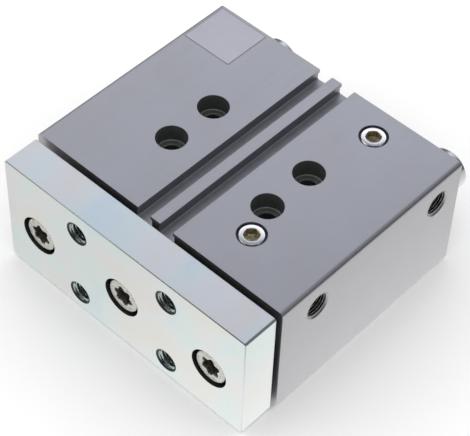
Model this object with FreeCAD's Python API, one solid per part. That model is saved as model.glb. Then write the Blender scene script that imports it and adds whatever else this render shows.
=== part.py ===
"""Guided pneumatic cylinder: a flat aluminium housing with one piston and two guide rods on ball bushings.

The rods and the piston rod carry a steel yoke plate that moves out of the front of the housing.
Millimetres. +Z is up, the yoke plate moves towards -Y, and X runs across the housing. The origin is
the centre of the four mounting holes on the housing's bottom face. A "station" is a distance along
the body's length, measured from the housing's front face towards the rear.
"""
import FreeCAD, Part
import math
import os

V = FreeCAD.Vector

# ---- Stroke and piston ----
STROKE = 40.0
PISTON_BORE = 32.0
PISTON_LENGTH = 22.3
PISTON_ROD_DIAMETER = 16.0
BUMPER_PROTRUSION = 1.2
STOP_CLEARANCE = 0.2

# ---- Housing outline ----
BODY_WIDTH = 112.0
BODY_HEIGHT = 50.0
BODY_EDGE_RADIUS = 1.75
PISTON_AXIS_DROP = 1.0
GUIDE_AXIS_DROP = 2.5
GUIDE_SPACING = 80.0

# ---- Bearing cap and end cap in the piston bore ----
CAP_SHOULDER = 1.2
CAP_INSET = 3.6
FRONT_CAP_LENGTH = 11.9
REAR_CAP_LENGTH = 6.0
CAP_RING_THICKNESS = 1.2
CAP_RING_WIDTH = 3.0
O_RING_CORD = 1.8
O_RING_SETBACK = 3.4
ROD_SEAL_LENGTH = 4.6
ROD_SEAL_WALL = 3.2
ROD_BUSH_LENGTH = 5.6
ROD_BUSH_WALL = 1.8
BUMPER_INNER_DIAMETER = 22.6
BUMPER_WIDTH = 3.0
BUMPER_SEAT_DEPTH = 1.6
REAR_CAP_DISH_DIAMETER = 24.0
REAR_CAP_DISH_DEPTH = 1.5

# ---- Retaining-ring grooves ----
RING_GROOVE_DEPTH = 0.9
RING_LUG_RADIUS = 1.9
RING_LUG_HOLE = 1.6
RING_GAP_ANGLE = 34.0

# ---- Guides ----
GUIDE_ROD_DIAMETER = 16.0
GUIDE_ROD_OVERHANG = 18.3
GUIDE_ROD_CHAMFER = 1.0
BALL_DIAMETER = 2.8
BALL_TRACKS = 5
BALLS_PER_TRACK = 4
BALL_PITCH = 4.4
SHELL_WALL = 1.2
BUSHING_LENGTH = 30.0
SHELL_LIP = 0.9
WIPER_LENGTH = 3.2
GUIDE_RING_THICKNESS = 1.2
GUIDE_RING_WIDTH = 1.9
GUIDE_RING_INSET = 1.4
GUIDE_CLEARANCE_BORE = 19.0

# ---- Piston parts ----
ROD_STEM_DIAMETER = 10.0
STEM_NUT_FLATS = 16.0
STEM_NUT_HEIGHT = 4.8
STEM_NUT_POCKET_GAP = 0.75
PISTON_LAND_GAP = 0.5
PISTON_SEAL_SETBACK = 2.6
PISTON_SEAL_LENGTH = 3.8
PISTON_SEAL_DEPTH = 4.0
GUIDE_BAND_LENGTH = 5.0
GUIDE_BAND_THICKNESS = 1.4
MAGNET_LENGTH = 4.0
MAGNET_DEPTH = 4.4
STEM_O_RING_CORD = 1.5

# ---- Sensor slots ----
SLOT_SPACING = 10.2
SLOT_MOUTH = 5.7
SLOT_LIP = 1.6
SLOT_UNDERCUT = 0.6
SLOT_CHAMBER_HEIGHT = 3.4
SLOT_CORNER_BEVEL = 0.35

# ---- Mounting holes through the housing ----
MOUNT_SPACING = 44.0
MOUNT_PITCH = 20.5
MOUNT_SETBACK = 30.0
MOUNT_HOLE_DIAMETER = 6.8
MOUNT_COUNTERBORE = 11.3
MOUNT_COUNTERBORE_DEPTH = 7.0
MOUNT_MOUTH_CHAMFER = 0.6
MOUNT_SEAT_CHAMFER = 0.3

# ---- Air ports ----
PORT_OFFSET = 2.0
PORT_DROP_IN_BORE = 1.4
PORT_CORE_DIAMETER = 8.6
PORT_MAJOR_DIAMETER = 9.73
PORT_MOUTH_DIAMETER = 10.3
PORT_DEPTH = 8.0
AIR_PASSAGE = 3.5
TOP_PORT_X = 26.5
PLUG_LENGTH = 6.0
PLUG_RECESS = 0.5
PLUG_EDGE_CHAMFER = 0.6
PLUG_SOCKET_FLATS = 5.0
PLUG_SOCKET_DEPTH = 3.6

# ---- Yoke plate ----
YOKE_SIDE_MARGIN = 0.8
YOKE_BOTTOM_MARGIN = 1.2
YOKE_TOP_MARGIN = 0.8
YOKE_THICKNESS = 14.3
YOKE_GAP = 1.9
YOKE_BAR_CHAMFER = 0.7
YOKE_FACE_CHAMFER = 0.3
YOKE_ROD_SEAT = 2.3
YOKE_THREAD_SPACING_X = 41.2
YOKE_THREAD_SPACING_Z = 31.0
YOKE_THREAD_CORE = 6.8
YOKE_THREAD_MOUTH = 9.0

# ---- Screws through the yoke plate ----
SCREW_DIAMETER = 8.0
SCREW_HEAD_DIAMETER = 13.0
SCREW_HEAD_HEIGHT = 6.5
SCREW_HEAD_RECESS = 0.8
SCREW_HEAD_PLAY = 2.2
SCREW_HOLE_PLAY = 0.8
SCREW_ENGAGEMENT = 15.0
SCREW_HEAD_CHAMFER = 0.5
DRIVE_TIP_DIAMETER = 7.95
DRIVE_LOBE_DEPTH = 1.15
DRIVE_DEPTH = 3.2
TAPPED_RUNOUT = 4.0

# ---- Bare type-label film ----
LABEL_WIDTH = 21.5
LABEL_LENGTH = 20.0
LABEL_THICKNESS = 0.1
LABEL_SIDE_INSET = 2.0
LABEL_REAR_INSET = 1.2

# ---- Clearances ----
SEAT_CLEARANCE = 0.02
RUNNING_CLEARANCE = 0.05
THREAD_CLEARANCE = 0.05

# ---- Derived stations and radii ----
PISTON_AXIS_Z = BODY_HEIGHT / 2 - PISTON_AXIS_DROP
GUIDE_AXIS_Z = BODY_HEIGHT / 2 - GUIDE_AXIS_DROP
PORT_Z = PISTON_AXIS_Z + PISTON_BORE / 2 - PORT_DROP_IN_BORE
YOKE_WIDTH = BODY_WIDTH - 2 * YOKE_SIDE_MARGIN
YOKE_HEIGHT = BODY_HEIGHT - YOKE_BOTTOM_MARGIN - YOKE_TOP_MARGIN
BUMPER_INNER_R = BUMPER_INNER_DIAMETER / 2
BUMPER_OUTER_R = BUMPER_INNER_R + BUMPER_WIDTH
BORE_R = PISTON_BORE / 2
POCKET_R = BORE_R + CAP_SHOULDER
ROD_R = PISTON_ROD_DIAMETER / 2
GUIDE_R = GUIDE_ROD_DIAMETER / 2
BUSHING_R = GUIDE_R + BALL_DIAMETER + SHELL_WALL
CHAMBER_FRONT = CAP_INSET + FRONT_CAP_LENGTH
CHAMBER_LENGTH = PISTON_LENGTH + STROKE + 2 * (BUMPER_PROTRUSION + STOP_CLEARANCE)
CHAMBER_REAR = CHAMBER_FRONT + CHAMBER_LENGTH
BODY_LENGTH = CHAMBER_REAR + REAR_CAP_LENGTH + CAP_INSET
PISTON_REAR = CHAMBER_REAR - BUMPER_PROTRUSION - STOP_CLEARANCE
PISTON_FRONT = PISTON_REAR - PISTON_LENGTH
PISTON_MIDDLE = (PISTON_FRONT + PISTON_REAR) / 2
FRONT_Y = -(MOUNT_SETBACK + MOUNT_PITCH / 2)
WIPER_FRONT = GUIDE_RING_INSET + GUIDE_RING_THICKNESS
BUSHING_FRONT = WIPER_FRONT + WIPER_LENGTH
GUIDE_POCKET_DEPTH = BUSHING_FRONT + BUSHING_LENGTH
YOKE_BACK = -YOKE_GAP
YOKE_FRONT = YOKE_BACK - YOKE_THICKNESS
ROD_FRONT = YOKE_BACK - YOKE_ROD_SEAT
HEAD_SEAT = YOKE_FRONT + SCREW_HEAD_RECESS + SCREW_HEAD_HEIGHT
SCREW_TIP = ROD_FRONT + SCREW_ENGAGEMENT
GUIDE_ROD_REAR = BODY_LENGTH + GUIDE_ROD_OVERHANG
SLOT_FLOOR_Z = BODY_HEIGHT - SLOT_LIP - SLOT_CHAMBER_HEIGHT
SLOT_WIDTH = SLOT_MOUTH + 2 * SLOT_UNDERCUT
GUIDE_XS = (-GUIDE_SPACING / 2, GUIDE_SPACING / 2)
PORT_STATIONS = (CHAMBER_FRONT + PORT_OFFSET, CHAMBER_REAR - PORT_OFFSET)


# ---- Shape helpers ----
def polygon_face(points):
    """A face from a closed list of 3D points."""
    return Part.Face(Part.makePolygon([V(*p) for p in points] + [V(*points[0])]))


def turned(profile, x, z):
    """Turn a (station, radius) profile about the lengthwise axis through (x, z)."""
    face = polygon_face([(radius, station, 0.0) for station, radius in profile])
    solid = face.revolve(V(0, 0, 0), V(0, 1, 0), 360)
    solid.translate(V(x, FRONT_Y, z))
    return solid


def from_rear(profile):
    """The same (station, radius) profile measured from the housing's rear face."""
    return [(BODY_LENGTH - station, radius) for station, radius in profile]


def tube_profile(start, end, inner, outer):
    """A plain ring as a (station, radius) profile."""
    return [(start, inner), (end, inner), (end, outer), (start, outer)]


def rod_profile(start, end, radius, chamfer_start=0.0, chamfer_end=0.0):
    """A solid round bar as a (station, radius) profile, with an optional chamfer at each end."""
    points = [(start, 0.0), (start, radius - chamfer_start)]
    if chamfer_start > 0:
        points.append((start + chamfer_start, radius))
    if chamfer_end > 0:
        points.append((end - chamfer_end, radius))
    points.append((end, radius - chamfer_end))
    points.append((end, 0.0))
    return points


def cord_ring(station, inner, outer, cord, x, z):
    """An O-ring seated between two radii, with its cord's corners rounded off by 30 per cent."""
    half = cord / 2
    cut = 0.3 * min(cord, outer - inner)
    profile = [
        (station - half + cut, inner),
        (station + half - cut, inner),
        (station + half, inner + cut),
        (station + half, outer - cut),
        (station + half - cut, outer),
        (station - half + cut, outer),
        (station - half, outer - cut),
        (station - half, inner + cut),
    ]
    return turned(profile, x, z)


def upright_hole(profile, x, station):
    """Turn a (height, radius) profile about the vertical axis at x and a station."""
    face = polygon_face([(radius, 0.0, height) for height, radius in profile])
    solid = face.revolve(V(0, 0, 0), V(0, 0, 1), 360)
    solid.translate(V(x, FRONT_Y + station, 0))
    return solid


def sideways_hole(profile, station, z):
    """Turn an (x, radius) profile about the crosswise axis at a station and height."""
    face = polygon_face([(x, radius, 0.0) for x, radius in profile])
    solid = face.revolve(V(0, 0, 0), V(1, 0, 0), 360)
    solid.translate(V(0, FRONT_Y + station, z))
    return solid


def hexagon_prism(flats, start, end, x, z):
    """A hexagonal prism along the body's length, with two of its flats level."""
    radius = flats / math.sqrt(3)
    corners = [(radius * math.cos(math.radians(60 * i)), radius * math.sin(math.radians(60 * i))) for i in range(6)]
    face = polygon_face([(x + a, FRONT_Y + start, z + b) for a, b in corners])
    return face.extrude(V(0, end - start, 0))


def retaining_ring(station, thickness, outer_radius, width, x, z):
    """An internal retaining ring with two plier lugs beside its gap, which faces down."""
    y = FRONT_Y + station
    along = V(0, 1, 0)
    inner_radius = outer_radius - width
    ring = Part.makeCylinder(outer_radius, thickness, V(x, y, z), along)
    ring = ring.cut(Part.makeCylinder(inner_radius, thickness, V(x, y, z), along))
    half = math.radians(RING_GAP_ANGLE / 2)
    reach = 1.5 * outer_radius
    gap = polygon_face([
        (x, y, z),
        (x - reach * math.sin(half), y, z - reach * math.cos(half)),
        (x + reach * math.sin(half), y, z - reach * math.cos(half)),
    ]).extrude(V(0, thickness, 0))
    ring = ring.cut(gap)
    lug_angle = half + RING_LUG_RADIUS / inner_radius
    lug_centre_radius = inner_radius + width / 2 - RING_LUG_RADIUS / 2
    for side in (-1, 1):
        lug_x = x + side * lug_centre_radius * math.sin(lug_angle)
        lug_z = z - lug_centre_radius * math.cos(lug_angle)
        lug = Part.makeCylinder(RING_LUG_RADIUS, thickness, V(lug_x, y, lug_z), along)
        lug = lug.common(Part.makeCylinder(outer_radius, thickness, V(x, y, z), along))
        ring = ring.fuse(lug)
        ring = ring.cut(Part.makeCylinder(RING_LUG_HOLE / 2, thickness, V(lug_x, y, lug_z), along))
    return ring.removeSplitter()


# ---- Housing ----
def housing_section():
    """The extrusion's outer section, a rectangle with rounded long edges, at the front face."""
    block = Part.makeBox(BODY_WIDTH, BODY_LENGTH, BODY_HEIGHT, V(-BODY_WIDTH / 2, FRONT_Y, 0))
    long_edges = [e for e in block.Edges if abs(e.tangentAt(e.FirstParameter).y) > 0.99]
    return block.makeFillet(BODY_EDGE_RADIUS, long_edges)


def slot_cut(x):
    """One sensor slot: a narrow mouth and a wider chamber under two lips, with bevelled lower corners."""
    chamber_top = BODY_HEIGHT - SLOT_LIP
    outline = [
        (SLOT_MOUTH / 2, BODY_HEIGHT + 1),
        (SLOT_MOUTH / 2, chamber_top),
        (SLOT_WIDTH / 2, chamber_top),
        (SLOT_WIDTH / 2, SLOT_FLOOR_Z + SLOT_CORNER_BEVEL),
        (SLOT_WIDTH / 2 - SLOT_CORNER_BEVEL, SLOT_FLOOR_Z),
    ]
    mirrored = [(-a, b) for a, b in reversed(outline)]
    face = polygon_face([(x + a, FRONT_Y - 1, b) for a, b in outline + mirrored])
    return face.extrude(V(0, BODY_LENGTH + 2, 0))


def piston_bore_cut():
    """The piston bore with a wider pocket and a ring groove at each end."""
    ring_r = POCKET_R + RING_GROOVE_DEPTH
    ring_start = CAP_INSET - CAP_RING_THICKNESS
    front = [(-1, 0), (-1, POCKET_R), (ring_start, POCKET_R), (ring_start, ring_r),
             (CAP_INSET, ring_r), (CAP_INSET, POCKET_R), (CHAMBER_FRONT, POCKET_R), (CHAMBER_FRONT, BORE_R)]
    rear = from_rear([(-1, 0), (-1, POCKET_R), (ring_start, POCKET_R), (ring_start, ring_r),
                      (CAP_INSET, ring_r), (CAP_INSET, POCKET_R),
                      (BODY_LENGTH - CHAMBER_REAR, POCKET_R), (BODY_LENGTH - CHAMBER_REAR, BORE_R)])
    return turned(front + rear[::-1], 0, PISTON_AXIS_Z)


def guide_bore_cut(x):
    """One guide bore: a bushing pocket with a ring groove at each end and a clearance bore between."""
    ring_r = BUSHING_R + RING_GROOVE_DEPTH
    middle_r = GUIDE_CLEARANCE_BORE / 2
    pocket = [(-1, 0), (-1, BUSHING_R), (GUIDE_RING_INSET, BUSHING_R), (GUIDE_RING_INSET, ring_r),
              (WIPER_FRONT, ring_r), (WIPER_FRONT, BUSHING_R),
              (GUIDE_POCKET_DEPTH, BUSHING_R), (GUIDE_POCKET_DEPTH, middle_r)]
    return turned(pocket + from_rear(pocket)[::-1], x, GUIDE_AXIS_Z)


def mounting_hole_cut(x, station):
    """One through hole, counterbored from above, with a chamfer at its seat and at its lower mouth."""
    r = MOUNT_HOLE_DIAMETER / 2
    counterbore_z = BODY_HEIGHT - MOUNT_COUNTERBORE_DEPTH
    profile = [(-1, 0), (-1, r + MOUNT_MOUTH_CHAMFER), (0, r + MOUNT_MOUTH_CHAMFER), (MOUNT_MOUTH_CHAMFER, r),
               (counterbore_z - MOUNT_SEAT_CHAMFER, r), (counterbore_z, r + MOUNT_SEAT_CHAMFER),
               (counterbore_z, MOUNT_COUNTERBORE / 2), (BODY_HEIGHT + 1, MOUNT_COUNTERBORE / 2), (BODY_HEIGHT + 1, 0)]
    return upright_hole(profile, x, station)


def side_port_cut(station):
    """One side port: a chamfered mouth, the thread's core and an air passage into the top of the bore."""
    face_x = BODY_WIDTH / 2
    core_r = PORT_CORE_DIAMETER / 2
    mouth_r = PORT_MOUTH_DIAMETER / 2
    passage_r = AIR_PASSAGE / 2
    inner_x = AIR_PASSAGE / 2
    profile = [(inner_x, 0), (inner_x, passage_r), (face_x - PORT_DEPTH - core_r + passage_r, passage_r),
               (face_x - PORT_DEPTH, core_r), (face_x - (mouth_r - core_r), core_r), (face_x, mouth_r),
               (face_x + 1, mouth_r), (face_x + 1, 0)]
    return sideways_hole(profile, station, PORT_Z)


def top_port_cut(station):
    """One plugged port on the top face, drilled down to the side port's air passage."""
    plug_r = PORT_MAJOR_DIAMETER / 2 + THREAD_CLEARANCE
    mouth_r = PORT_MOUTH_DIAMETER / 2
    floor_z = BODY_HEIGHT - PLUG_RECESS - PLUG_LENGTH
    passage_r = AIR_PASSAGE / 2
    profile = [(PORT_Z, 0), (PORT_Z, passage_r), (floor_z, passage_r), (floor_z, plug_r),
               (BODY_HEIGHT - (mouth_r - plug_r), plug_r), (BODY_HEIGHT, mouth_r),
               (BODY_HEIGHT + 1, mouth_r), (BODY_HEIGHT + 1, 0)]
    return upright_hole(profile, TOP_PORT_X, station)


def housing():
    """The anodised aluminium housing with every bore, slot, hole and port."""
    cuts = [piston_bore_cut()]
    cuts += [guide_bore_cut(x) for x in GUIDE_XS]
    cuts += [slot_cut(side * SLOT_SPACING / 2) for side in (-1, 1)]
    for x in (-MOUNT_SPACING / 2, MOUNT_SPACING / 2):
        for station in (MOUNT_SETBACK, MOUNT_SETBACK + MOUNT_PITCH):
            cuts.append(mounting_hole_cut(x, station))
    cuts += [side_port_cut(station) for station in PORT_STATIONS]
    cuts += [top_port_cut(station) for station in PORT_STATIONS]
    return housing_section().cut(cuts)


# ---- Pieces in the piston bore ----
def cap_o_ring_groove(outer_r):
    """The radius of the floor of a cap's O-ring groove."""
    return outer_r - 0.8 * O_RING_CORD


def front_bearing_cap():
    """The aluminium bearing cap, with pockets for the rod seal, the bush, the O-ring and the bumper."""
    outer = POCKET_R - SEAT_CLEARANCE
    start = CAP_INSET
    end = CHAMBER_FRONT
    seal_r = ROD_R + ROD_SEAL_WALL + SEAT_CLEARANCE
    bush_r = ROD_R + RUNNING_CLEARANCE + ROD_BUSH_WALL + SEAT_CLEARANCE
    land_r = ROD_R + 6 * RUNNING_CLEARANCE
    groove = start + O_RING_SETBACK
    half = O_RING_CORD / 2 + RUNNING_CLEARANCE
    profile = [
        (start, seal_r), (start, outer),
        (groove - half, outer), (groove - half, cap_o_ring_groove(outer)),
        (groove + half, cap_o_ring_groove(outer)), (groove + half, outer),
        (end, outer),
        (end, BUMPER_OUTER_R), (end - BUMPER_SEAT_DEPTH, BUMPER_OUTER_R),
        (end - BUMPER_SEAT_DEPTH, BUMPER_INNER_R), (end, BUMPER_INNER_R),
        (end, bush_r), (end - ROD_BUSH_LENGTH, bush_r),
        (end - ROD_BUSH_LENGTH, land_r), (start + ROD_SEAL_LENGTH, land_r), (start + ROD_SEAL_LENGTH, seal_r),
    ]
    return turned(profile, 0, PISTON_AXIS_Z)


def rear_end_cap():
    """The aluminium disc that closes the bore at the rear."""
    outer = POCKET_R - SEAT_CLEARANCE
    start = CHAMBER_REAR
    end = CHAMBER_REAR + REAR_CAP_LENGTH
    groove = end - O_RING_SETBACK + BUMPER_SEAT_DEPTH / 2
    half = O_RING_CORD / 2 + RUNNING_CLEARANCE
    dish_r = REAR_CAP_DISH_DIAMETER / 2
    profile = [
        (start, 0), (start, BUMPER_INNER_R),
        (start + BUMPER_SEAT_DEPTH, BUMPER_INNER_R),
        (start + BUMPER_SEAT_DEPTH, BUMPER_OUTER_R), (start, BUMPER_OUTER_R),
        (start, outer), (groove - half, outer), (groove - half, cap_o_ring_groove(outer)),
        (groove + half, cap_o_ring_groove(outer)), (groove + half, outer), (end, outer),
        (end, dish_r), (end - REAR_CAP_DISH_DEPTH, dish_r - REAR_CAP_DISH_DEPTH),
        (end - REAR_CAP_DISH_DEPTH, 0),
    ]
    return turned(profile, 0, PISTON_AXIS_Z)


def cap_o_rings():
    """The O-ring round each cap."""
    outer = POCKET_R - SEAT_CLEARANCE
    inner = cap_o_ring_groove(outer) + SEAT_CLEARANCE
    stations = (CAP_INSET + O_RING_SETBACK,
                CHAMBER_REAR + REAR_CAP_LENGTH - O_RING_SETBACK + BUMPER_SEAT_DEPTH / 2)
    return [cord_ring(s, inner, outer, O_RING_CORD, 0, PISTON_AXIS_Z) for s in stations]


def cap_retaining_rings():
    """The internal retaining ring outside each cap."""
    outer = POCKET_R + RING_GROOVE_DEPTH - SEAT_CLEARANCE
    stations = (CAP_INSET - CAP_RING_THICKNESS, BODY_LENGTH - CAP_INSET)
    return [retaining_ring(s, CAP_RING_THICKNESS, outer, CAP_RING_WIDTH, 0, PISTON_AXIS_Z) for s in stations]


def rod_bush():
    """The sintered bronze bush that guides the piston rod."""
    inner = ROD_R + RUNNING_CLEARANCE
    return turned(tube_profile(CHAMBER_FRONT - ROD_BUSH_LENGTH, CHAMBER_FRONT, inner, inner + ROD_BUSH_WALL),
                  0, PISTON_AXIS_Z)


def rod_seal():
    """The piston rod's seal, with a sealing lip inwards and a wiper lip at the front."""
    start = CAP_INSET
    end = CAP_INSET + ROD_SEAL_LENGTH
    lip = ROD_R + RUNNING_CLEARANCE
    relief = lip + 0.35 * ROD_SEAL_WALL
    outer = ROD_R + ROD_SEAL_WALL
    third = ROD_SEAL_LENGTH / 3
    profile = [
        (start, lip), (start + 0.4 * third, lip), (start + third, relief), (end - third, relief),
        (end - 0.4 * third, lip), (end, lip), (end, lip + 0.25 * ROD_SEAL_WALL),
        (end - third, lip + 0.5 * ROD_SEAL_WALL), (end, outer - 0.25 * ROD_SEAL_WALL),
        (end, outer), (start, outer),
    ]
    return turned(profile, 0, PISTON_AXIS_Z)


def bumper(seat_face, direction):
    """One rubber bumper ring, seated in a cap's groove and standing into the chamber."""
    inner = BUMPER_INNER_R + SEAT_CLEARANCE
    outer = BUMPER_OUTER_R - SEAT_CLEARANCE
    root = seat_face - direction * BUMPER_SEAT_DEPTH
    crown = seat_face + direction * BUMPER_PROTRUSION
    bevel = 0.5 * BUMPER_PROTRUSION
    profile = [(root, inner), (crown - direction * bevel, inner), (crown, inner + bevel),
               (crown, outer - bevel), (crown - direction * bevel, outer), (root, outer)]
    return turned(profile, 0, PISTON_AXIS_Z)


# ---- Guide bushings ----
def bushing_starts():
    """The front station of the front and of the rear bushing."""
    return (BUSHING_FRONT, BODY_LENGTH - BUSHING_FRONT - BUSHING_LENGTH)


def bushing_shells():
    """The hardened steel shell of each ball bushing, with an inward lip at both ends."""
    outer = BUSHING_R - SEAT_CLEARANCE
    race = GUIDE_R + RUNNING_CLEARANCE + BALL_DIAMETER
    lip_r = race - SHELL_LIP
    shells = []
    for x in GUIDE_XS:
        for start in bushing_starts():
            end = start + BUSHING_LENGTH
            profile = [(start, lip_r), (start, outer), (end, outer), (end, lip_r), (end - SHELL_WALL, lip_r),
                       (end - SHELL_WALL, race), (start + SHELL_WALL, race), (start + SHELL_WALL, lip_r)]
            shells.append(turned(profile, x, GUIDE_AXIS_Z))
    return shells


def track_angles():
    """The angle of each ball track round a bushing."""
    return [90 + 360 * i / BALL_TRACKS for i in range(BALL_TRACKS)]


def bushing_cages():
    """The moulded ball cage of each bushing, slotted along each ball track."""
    inner = GUIDE_R + 5 * RUNNING_CLEARANCE
    outer = GUIDE_R + RUNNING_CLEARANCE + BALL_DIAMETER - SEAT_CLEARANCE
    slot = BALL_DIAMETER + 2 * RUNNING_CLEARANCE
    run = (BALLS_PER_TRACK - 1) * BALL_PITCH + slot
    cages = []
    for x in GUIDE_XS:
        for start in bushing_starts():
            first = start + SHELL_WALL + SEAT_CLEARANCE
            last = start + BUSHING_LENGTH - SHELL_WALL - SEAT_CLEARANCE
            cage = turned(tube_profile(first, last, inner, outer), x, GUIDE_AXIS_Z)
            middle = FRONT_Y + start + BUSHING_LENGTH / 2
            for angle in track_angles():
                window = Part.makeBox(outer, run, slot, V(0, -run / 2, -slot / 2))
                window.rotate(V(0, 0, 0), V(0, 1, 0), -angle)
                window.translate(V(x, middle, GUIDE_AXIS_Z))
                cage = cage.cut(window)
            cages.append(cage)
    return cages


def bushing_balls():
    """The loaded balls of each bushing, between the shell's race and the guide rod."""
    ball_r = BALL_DIAMETER / 2 - SEAT_CLEARANCE
    centre_r = GUIDE_R + RUNNING_CLEARANCE + BALL_DIAMETER / 2
    balls = []
    for x in GUIDE_XS:
        for start in bushing_starts():
            middle = FRONT_Y + start + BUSHING_LENGTH / 2
            for angle in track_angles():
                ball_x = x + centre_r * math.cos(math.radians(angle))
                ball_z = GUIDE_AXIS_Z + centre_r * math.sin(math.radians(angle))
                for i in range(BALLS_PER_TRACK):
                    offset = (i - (BALLS_PER_TRACK - 1) / 2) * BALL_PITCH
                    balls.append(Part.makeSphere(ball_r, V(ball_x, middle + offset, ball_z)))
    return balls


def guide_wipers():
    """The wiper seal outside each bushing, with its lip against the guide rod."""
    outer = BUSHING_R - SEAT_CLEARANCE
    lip = GUIDE_R + RUNNING_CLEARANCE
    relief = lip + 0.35 * (outer - lip)
    start = WIPER_FRONT
    end = BUSHING_FRONT
    front = [(start, lip), (start, lip + 0.3), (start + 0.3 * WIPER_LENGTH, relief), (start, relief + 0.8),
             (start, outer), (end, outer), (end, relief), (start + 0.5 * WIPER_LENGTH, relief)]
    wipers = []
    for x in GUIDE_XS:
        wipers.append(turned(front, x, GUIDE_AXIS_Z))
        wipers.append(turned(from_rear(front), x, GUIDE_AXIS_Z))
    return wipers


def guide_retaining_rings():
    """The internal retaining ring outside each guide wiper."""
    outer = BUSHING_R + RING_GROOVE_DEPTH - SEAT_CLEARANCE
    rings = []
    for x in GUIDE_XS:
        for station in (GUIDE_RING_INSET, BODY_LENGTH - WIPER_FRONT):
            rings.append(retaining_ring(station, GUIDE_RING_THICKNESS, outer, GUIDE_RING_WIDTH, x, GUIDE_AXIS_Z))
    return rings


# ---- Pieces on the housing ----
def port_plugs():
    """The hexagon-socket screw plug in each top port."""
    radius = PORT_MAJOR_DIAMETER / 2
    top = BODY_HEIGHT - PLUG_RECESS
    bottom = top - PLUG_LENGTH
    plugs = []
    for station in PORT_STATIONS:
        profile = [(bottom, 0), (bottom, radius - PLUG_EDGE_CHAMFER), (bottom + PLUG_EDGE_CHAMFER, radius),
                   (top - PLUG_EDGE_CHAMFER, radius), (top, radius - PLUG_EDGE_CHAMFER), (top, 0)]
        plug = upright_hole(profile, TOP_PORT_X, station)
        corner = PLUG_SOCKET_FLATS / math.sqrt(3)
        socket = polygon_face([
            (TOP_PORT_X + corner * math.cos(math.radians(60 * i + 15)),
             FRONT_Y + station + corner * math.sin(math.radians(60 * i + 15)), top)
            for i in range(6)
        ]).extrude(V(0, 0, -PLUG_SOCKET_DEPTH))
        plugs.append(plug.cut(socket))
    return plugs


def type_label():
    """The bare label film on the top face, near its rear left corner."""
    return Part.makeBox(LABEL_WIDTH, LABEL_LENGTH, LABEL_THICKNESS,
                        V(-BODY_WIDTH / 2 + LABEL_SIDE_INSET,
                          FRONT_Y + BODY_LENGTH - LABEL_REAR_INSET - LABEL_LENGTH, BODY_HEIGHT))


# ---- Moving pieces ----
def screw_places():
    """The (x, z) axis of each screw through the yoke plate: the two guide rods and the piston rod."""
    return [(x, GUIDE_AXIS_Z, GUIDE_R) for x in GUIDE_XS] + [(0.0, PISTON_AXIS_Z, ROD_R)]


def yoke_plate():
    """The zinc-plated steel yoke plate, with its screw counterbores, rod seats and load threads."""
    block = Part.makeBox(YOKE_WIDTH, YOKE_THICKNESS, YOKE_HEIGHT,
                         V(-YOKE_WIDTH / 2, FRONT_Y + YOKE_FRONT, YOKE_BOTTOM_MARGIN))
    bar_edges = [edge for edge in block.Edges if edge.BoundBox.YLength > YOKE_THICKNESS / 2]
    block = block.makeChamfer(YOKE_BAR_CHAMFER, bar_edges)
    face_edges = [edge for edge in block.Edges if edge.BoundBox.YLength < YOKE_THICKNESS / 2]
    block = block.makeChamfer(YOKE_FACE_CHAMFER, face_edges)
    cuts = []
    for x, z, rod_r in screw_places():
        seat_r = rod_r + SEAT_CLEARANCE
        hole_r = (SCREW_DIAMETER + SCREW_HOLE_PLAY) / 2
        profile = [(YOKE_FRONT - 1, 0), (YOKE_FRONT - 1, (SCREW_HEAD_DIAMETER + SCREW_HEAD_PLAY) / 2), (HEAD_SEAT, (SCREW_HEAD_DIAMETER + SCREW_HEAD_PLAY) / 2),
                   (HEAD_SEAT, hole_r), (ROD_FRONT, hole_r), (ROD_FRONT, seat_r), (YOKE_BACK + 1, seat_r),
                   (YOKE_BACK + 1, 0)]
        cuts.append(turned(profile, x, z))
    core_r = YOKE_THREAD_CORE / 2
    mouth_r = YOKE_THREAD_MOUTH / 2
    bevel = mouth_r - core_r
    for side in (-1, 1):
        for up in (-1, 1):
            profile = [(YOKE_FRONT - 1, 0), (YOKE_FRONT - 1, mouth_r), (YOKE_FRONT, mouth_r),
                       (YOKE_FRONT + bevel, core_r), (YOKE_BACK - bevel, core_r), (YOKE_BACK, mouth_r),
                       (YOKE_BACK + 1, mouth_r), (YOKE_BACK + 1, 0)]
            cuts.append(turned(profile, side * YOKE_THREAD_SPACING_X / 2,
                               PISTON_AXIS_Z + up * YOKE_THREAD_SPACING_Z / 2))
    return block.cut(cuts)


def tapped_bar(profile, x, z):
    """A round bar with the screw's tapped hole in its front end."""
    hole_r = SCREW_DIAMETER / 2 + THREAD_CLEARANCE
    hole = turned([(ROD_FRONT - 1, 0), (ROD_FRONT - 1, hole_r), (SCREW_TIP + TAPPED_RUNOUT, hole_r),
                   (SCREW_TIP + TAPPED_RUNOUT + 0.6 * hole_r, 0)], x, z)
    return turned(profile, x, z).cut(hole)


def guide_rod(x):
    """One hardened guide rod, from its seat in the yoke plate to its free end behind the housing."""
    return tapped_bar(rod_profile(ROD_FRONT, GUIDE_ROD_REAR, GUIDE_R, GUIDE_ROD_CHAMFER / 2, GUIDE_ROD_CHAMFER),
                      x, GUIDE_AXIS_Z)


def stem_nut_seat():
    """The station of the floor of the nut's pocket in the piston's rear half."""
    return PISTON_REAR - STEM_NUT_HEIGHT - STOP_CLEARANCE


def piston_rod():
    """The piston rod, with a thinner stem that carries the piston and its nut."""
    stem_r = ROD_STEM_DIAMETER / 2
    bevel = 0.1 * ROD_STEM_DIAMETER
    end = stem_nut_seat() + STEM_NUT_HEIGHT
    profile = [(ROD_FRONT, 0), (ROD_FRONT, ROD_R - bevel / 2), (ROD_FRONT + bevel / 2, ROD_R),
               (PISTON_FRONT, ROD_R), (PISTON_FRONT, stem_r), (end - bevel / 2, stem_r), (end, stem_r - bevel / 2),
               (end, 0)]
    return tapped_bar(profile, 0, PISTON_AXIS_Z)


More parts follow.
